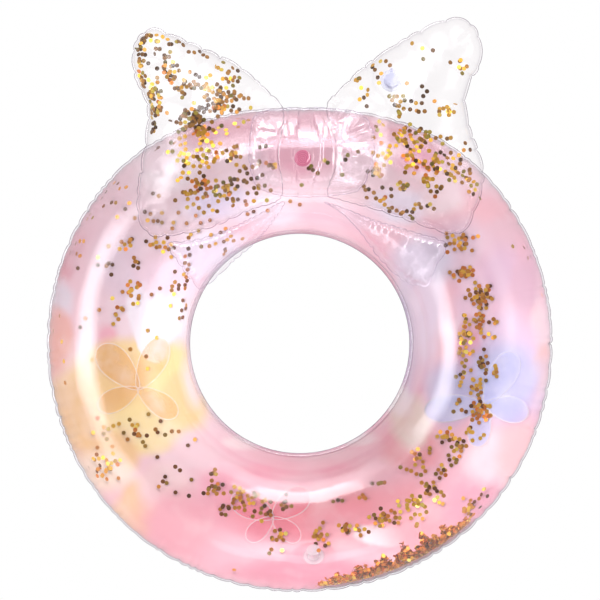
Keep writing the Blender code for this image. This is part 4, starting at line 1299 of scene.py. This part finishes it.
# Each butterfly's middle, and its wings: length, width and lean in degrees
BUTTERFLIES = {
    "lilac": ((262, -88), [(82, 58, 62), (54, 56, -10), (86, 60, 186), (60, 46, 256)]),
    "amber": ((-228, -66), [(80, 62, 62), (80, 66, 132), (66, 52, -34), (60, 50, 206)]),
    "rose": ((-38, -248), [(62, 60, 38), (64, 58, 152), (48, 40, -40), (46, 40, -140)]),
}
WING_REACH = 0.93
WING_WAIST = 0.35
WING_LIFT = 0.9 * MM
WING_RIM = 1.3 * MM
WING_RIM_LIFT = 1.3 * MM


def butterflies(fills, rim):
    for name, (centre, wings) in BUTTERFLIES.items():
        for number, (length, width, lean) in enumerate(wings, 1):
            line = wing(centre, length, width, math.radians(lean))
            wing_fill(f"{name}_wing_{number}", line, fills[name])
            wing_rim(f"{name}_wing_rim_{number}", line, rim)


# ---------------------------------------------------------------- stage

def softbox(name, azimuth, elevation, wide, high, radiance):
    """An even lamp seen from the ring's centre at an azimuth and elevation, so many degrees across."""
    az, el = math.radians(azimuth), math.radians(elevation)
    towards = Vector((math.cos(el) * math.cos(az), math.cos(el) * math.sin(az), math.sin(el)))
    lamp = bpy.data.lights.new(name, "AREA")
    lamp.shape = "RECTANGLE"
    lamp.size = 2 * LAMP_DISTANCE * math.tan(math.radians(wide) / 2)
    lamp.size_y = 2 * LAMP_DISTANCE * math.tan(math.radians(high) / 2)
    lamp.energy = 4 * radiance * lamp.size * lamp.size_y
    made = bpy.data.objects.new(name, lamp)
    bpy.context.scene.collection.objects.link(made)
    spot = Vector((0, RING_Y, SEAM_Z)) + towards * LAMP_DISTANCE
    made.matrix_world = frame_at(spot, towards, (0, 0, 1))


def sky(scene):
    """Bright walls and a darker ceiling."""
    scene.world = bpy.data.worlds.new("studio")
    scene.world.use_nodes = True
    tree = scene.world.node_tree
    way = add_node(tree, "TexCoord").outputs["Generated"]
    rise = add_node(tree, "SeparateXYZ", {0: way}).outputs["Z"]
    ramp = add_node(tree, "ValToRGB", {0: rise})
    stops = ((SKY_BRIGHT_TO, 1.0), (SKY_DARK_FROM, SKY_DARK))
    for stop, (place, grey) in zip(ramp.color_ramp.elements, stops):
        stop.position = place
        stop.color = (grey, grey, grey, 1)
    tree.links.new(ramp.outputs[0], tree.nodes["Background"].inputs["Color"])
    tree.nodes["Background"].inputs["Strength"].default_value = SKY_STRENGTH


def studio_floor():
    """A glowing floor that can be seen through from below."""
    made = bpy.data.materials.new("studio_floor")
    made.use_nodes = True
    tree = made.node_tree
    tree.nodes.clear()
    from_below = add_node(tree, "NewGeometry").outputs["Backfacing"]
    glow = add_node(tree, "Emission", {"Color": (1, 1, 1, 1), "Strength": 1.0})
    clear = add_node(tree, "BsdfTransparent")
    seen = add_node(tree, "MixShader", {0: from_below, 1: glow.outputs[0], 2: clear.outputs[0]})
    add_node(tree, "OutputMaterial", {"Surface": seen.outputs[0]})
    corners = [(-3, -3, -0.001), (3, -3, -0.001), (3, 3, -0.001), (-3, 3, -0.001)]
    floor = add_mesh("floor", corners, [[0, 1, 2, 3]], made, body=None)


def studio():
    scene = bpy.context.scene
    scene.view_settings.view_transform = "Standard"
    scene.cycles.transparent_max_bounces = 48
    scene.cycles.max_bounces = 12
    scene.cycles.diffuse_bounces = 4
    scene.cycles.glossy_bounces = 8
    scene.cycles.sample_clamp_indirect = 6
    scene.cycles.caustics_reflective = False
    scene.cycles.caustics_refractive = False
    sky(scene)
    studio_floor()
    for grow, share in ((0, 0.5), (8, 0.3), (16, 0.2)):
        softbox(f"left_softbox_{grow}", 169, 36, 32 + grow, 18 + grow, 7.0 * share)
        softbox(f"far_left_softbox_{grow}", 200, 35, 20 + grow, 18 + grow, 3.5 * share)
        softbox(f"top_softbox_{grow}", 92, 26, 50 + grow, 18 + grow, 3.6 * share)
    softbox("high_top_softbox", 92, 42, 34, 22, 4.5)
    softbox("bottom_softbox", -90, 30, 40, 14, 1.1)

    camera_data = bpy.data.cameras.new("camera")
    camera_data.sensor_width = 36
    camera_data.lens = CAMERA_LENS
    camera = bpy.data.objects.new("camera", camera_data)
    scene.collection.objects.link(camera)
    camera.location = (CAMERA_SHIFT[0], RING_Y + CAMERA_SHIFT[1], SEAM_Z + CAMERA_HEIGHT)
    scene.camera = camera


# ---------------------------------------------------------------- assembly

def build_ring(clear, seam, bead, print_and_highlight_film):
    place = valve("ring_valve", vinyl("ring_valve_vinyl", "EAD8E0", 0.42),
                  vinyl("ring_valve_rim_vinyl", "E2C4D0", 0.6, (0.2, 0.3)))
    ring_film("ring_front", 1, 5, True, clear, seam, "ring_front_film")
    ring_film("ring_back", -1, 6, False, print_and_highlight_film, seam, "ring_back_film", place)
    surface = ring_surface(1, 5, True) - [0, 0, WELD_GAP / 2]
    tube_along("ring_outer_weld_bead", surface[0], BEAD_RADIUS, bead)
    tube_along("ring_inner_weld_bead", surface[-1], BEAD_RADIUS, bead)


# Folds across the knot: place in millimetres, depth and bow
KNOT_FOLDS = [(-52, 0.5, -0.6), (-29, 0.8, 0.5), (45, 0.8, -0.5), (80, 0.7, 0.8), (88, 0.5, 0.8)]


def knot_dimple(x, y, height):
    """The spot weld draws the knot's films down, in pressed rings."""
    off = np.hypot(x - WELD_SPOT[0], y - WELD_SPOT[1])
    drop = 6 * MM * np.exp(-(off / (16 * MM)) ** 2)
    rings = 0.3 * MM * np.cos(TAU * off / (5 * MM)) * np.exp(-(off / (20 * MM)) ** 2)
    for place, depth, bow in KNOT_FOLDS:
        off = x - place * MM - bow * (y - WELD_SPOT[1]) ** 2 / (100 * MM)
        rings = rings - depth * MM * np.exp(-(off / (1.6 * MM)) ** 2)
        rings = rings + 0.3 * depth * MM * np.exp(-((np.abs(off) - 4 * MM) / (2.2 * MM)) ** 2)
    return height - drop + rings


def weld_spot(material):
    low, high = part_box("knot_weld_spot")
    centre = Matrix.Translation(((low.x + high.x) / 2, (low.y + high.y) / 2, low.z))
    profile = [(0, 0), (WELD_SPOT_RADIUS, 0), (WELD_SPOT_RADIUS, 0.7 * MM)]
    for ring in range(4):
        reach = WELD_SPOT_RADIUS - (1 + ring * 2.4) * MM
        profile += [(reach, 1.0 * MM), (reach - 0.7 * MM, 0.55 * MM), (reach - 1.4 * MM, 1.0 * MM)]
    profile = rounded([*profile, (0, 1.0 * MM)], 0.25 * MM, 2)
    made = lathe("knot_weld_rings", profile, centre, "float", material)
    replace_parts(made, "knot_weld_spot")


def loop_seam(x, y):
    return CREST_Z + BOW_SEAM_RISE - saddle(x, y, True)


def tail_seam(x, y):
    return CREST_Z + BOW_SEAM_RISE - saddle(x, y, False)


def knot_seam(x, y):
    shoulder = smoothstep(np.abs(x - KNOT_X), 22 * MM, 60 * MM)
    lift = KNOT_CENTRE_RISE + (KNOT_SHOULDER_RISE - KNOT_CENTRE_RISE) * shoulder
    return CREST_Z + lift - saddle(x, y, False)


def build_bow(film, tie_film, back_film, bead, tie_bead):
    chambers = {
        "left_loop": Chamber("left_loop", LEFT_LOOP, 40, LOOP_FULLNESS, loop_seam, squeeze=pinch),
        "right_loop": Chamber("right_loop", RIGHT_LOOP, 41, LOOP_FULLNESS, loop_seam, squeeze=pinch),
        "left_tail": Chamber("left_tail", LEFT_TAIL, 50, TAIL_FULLNESS, tail_seam, teeth=True),
        "right_tail": Chamber("right_tail", RIGHT_TAIL, 51, TAIL_FULLNESS, tail_seam, teeth=True),
    }
    under = ring_top(GRID_X, GRID_Y)
    for loop in (chambers["left_loop"], chambers["right_loop"]):
        covered = loop.inside(GRID_X, GRID_Y) | (loop.nearest(GRID_X, GRID_Y)[0] < LAP)
        front = loop.heights(GRID_X, GRID_Y)[1] + FILM
        under = np.maximum(under, np.where(covered, front, -1.0))
    chambers["knot"] = Chamber("knot", KNOT, 60, KNOT_FULLNESS, knot_seam,
                               lambda x, y: on_grid(under, x, y), STACK_GAP, fan=0.0)
    for name, chamber in chambers.items():
        loop = name.endswith("loop")
        chamber.film("front", film if loop else tie_film, shape=knot_dimple if name == "knot" else None)
        chamber.film("back", back_film, BOW_VALVE if name == "right_loop" else None)
        chamber.bead(bead if loop else tie_bead)
    return chambers


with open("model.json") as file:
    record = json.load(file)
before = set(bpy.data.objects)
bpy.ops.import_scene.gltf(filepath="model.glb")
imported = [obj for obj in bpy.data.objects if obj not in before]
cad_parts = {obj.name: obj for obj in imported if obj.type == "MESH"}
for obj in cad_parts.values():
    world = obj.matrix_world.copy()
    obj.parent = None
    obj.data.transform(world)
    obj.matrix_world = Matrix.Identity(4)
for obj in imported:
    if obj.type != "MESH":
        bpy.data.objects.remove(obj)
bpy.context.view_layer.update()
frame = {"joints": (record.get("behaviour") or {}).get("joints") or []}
SEAM_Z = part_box("ring_back_film")[1].z + WELD_GAP / 2
CREST_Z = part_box("ring_front_film")[1].z
RING_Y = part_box("ring_front_film")[0].y + float(ring_reach(np.array(-math.pi / 2)))

studio()
seam = clear_film("welded_seam", facing=0.1, tint="FAF8FA", edge="9A94A0")
bead = clear_film("weld_bead", facing=0.12, tint="CAC1CA", edge="8A808A")
build_ring(clear_film("ring_clear_film"), seam, bead, printed_film())
valve("bow_valve", vinyl("bow_valve_vinyl", "C4C6E0", 0.6),
      vinyl("bow_valve_rim_vinyl", "CCCEE6", 0.35, (0.2, 0.3)))
chambers = build_bow(
    clear_film("bow_clear_film", facing=0.05, tint="FDFCFC", edge="B8B2BA"),
    clear_film("tie_clear_film", facing=0.11, tint="FBF9FC", edge="B8B2BA"),
    clear_film("bow_back_film", facing=0.03, grazing=0.3, tint="FDFBFC", edge="B8B2BA"),
    bead, clear_film("tie_weld_bead", facing=0.12, tint="E4DEE8", edge="B4ACB8"))
weld_spot(vinyl("weld_vinyl", "E06A92", 0.7, (0.15, 0.3)))
ring_glitter({tone: foil("ring_foil_" + tone, *pair) for tone, pair in TONES.items()})
# The bow's discs take the darker tones: painted shade
bow_glitter(chambers, {tone: foil("bow_shaded_foil_" + tone, *pair) for tone, pair in BOW_SHADED_TONES.items()})
butterflies({"lilac": ink("lilac_ink", "C2C6F0", 0.75), "amber": ink("amber_ink", "E8B466", 0.5),
             "rose": ink("rose_ink", "EA7894", 0.35)}, ink("white_ink", "FDFBFF", 0.45))
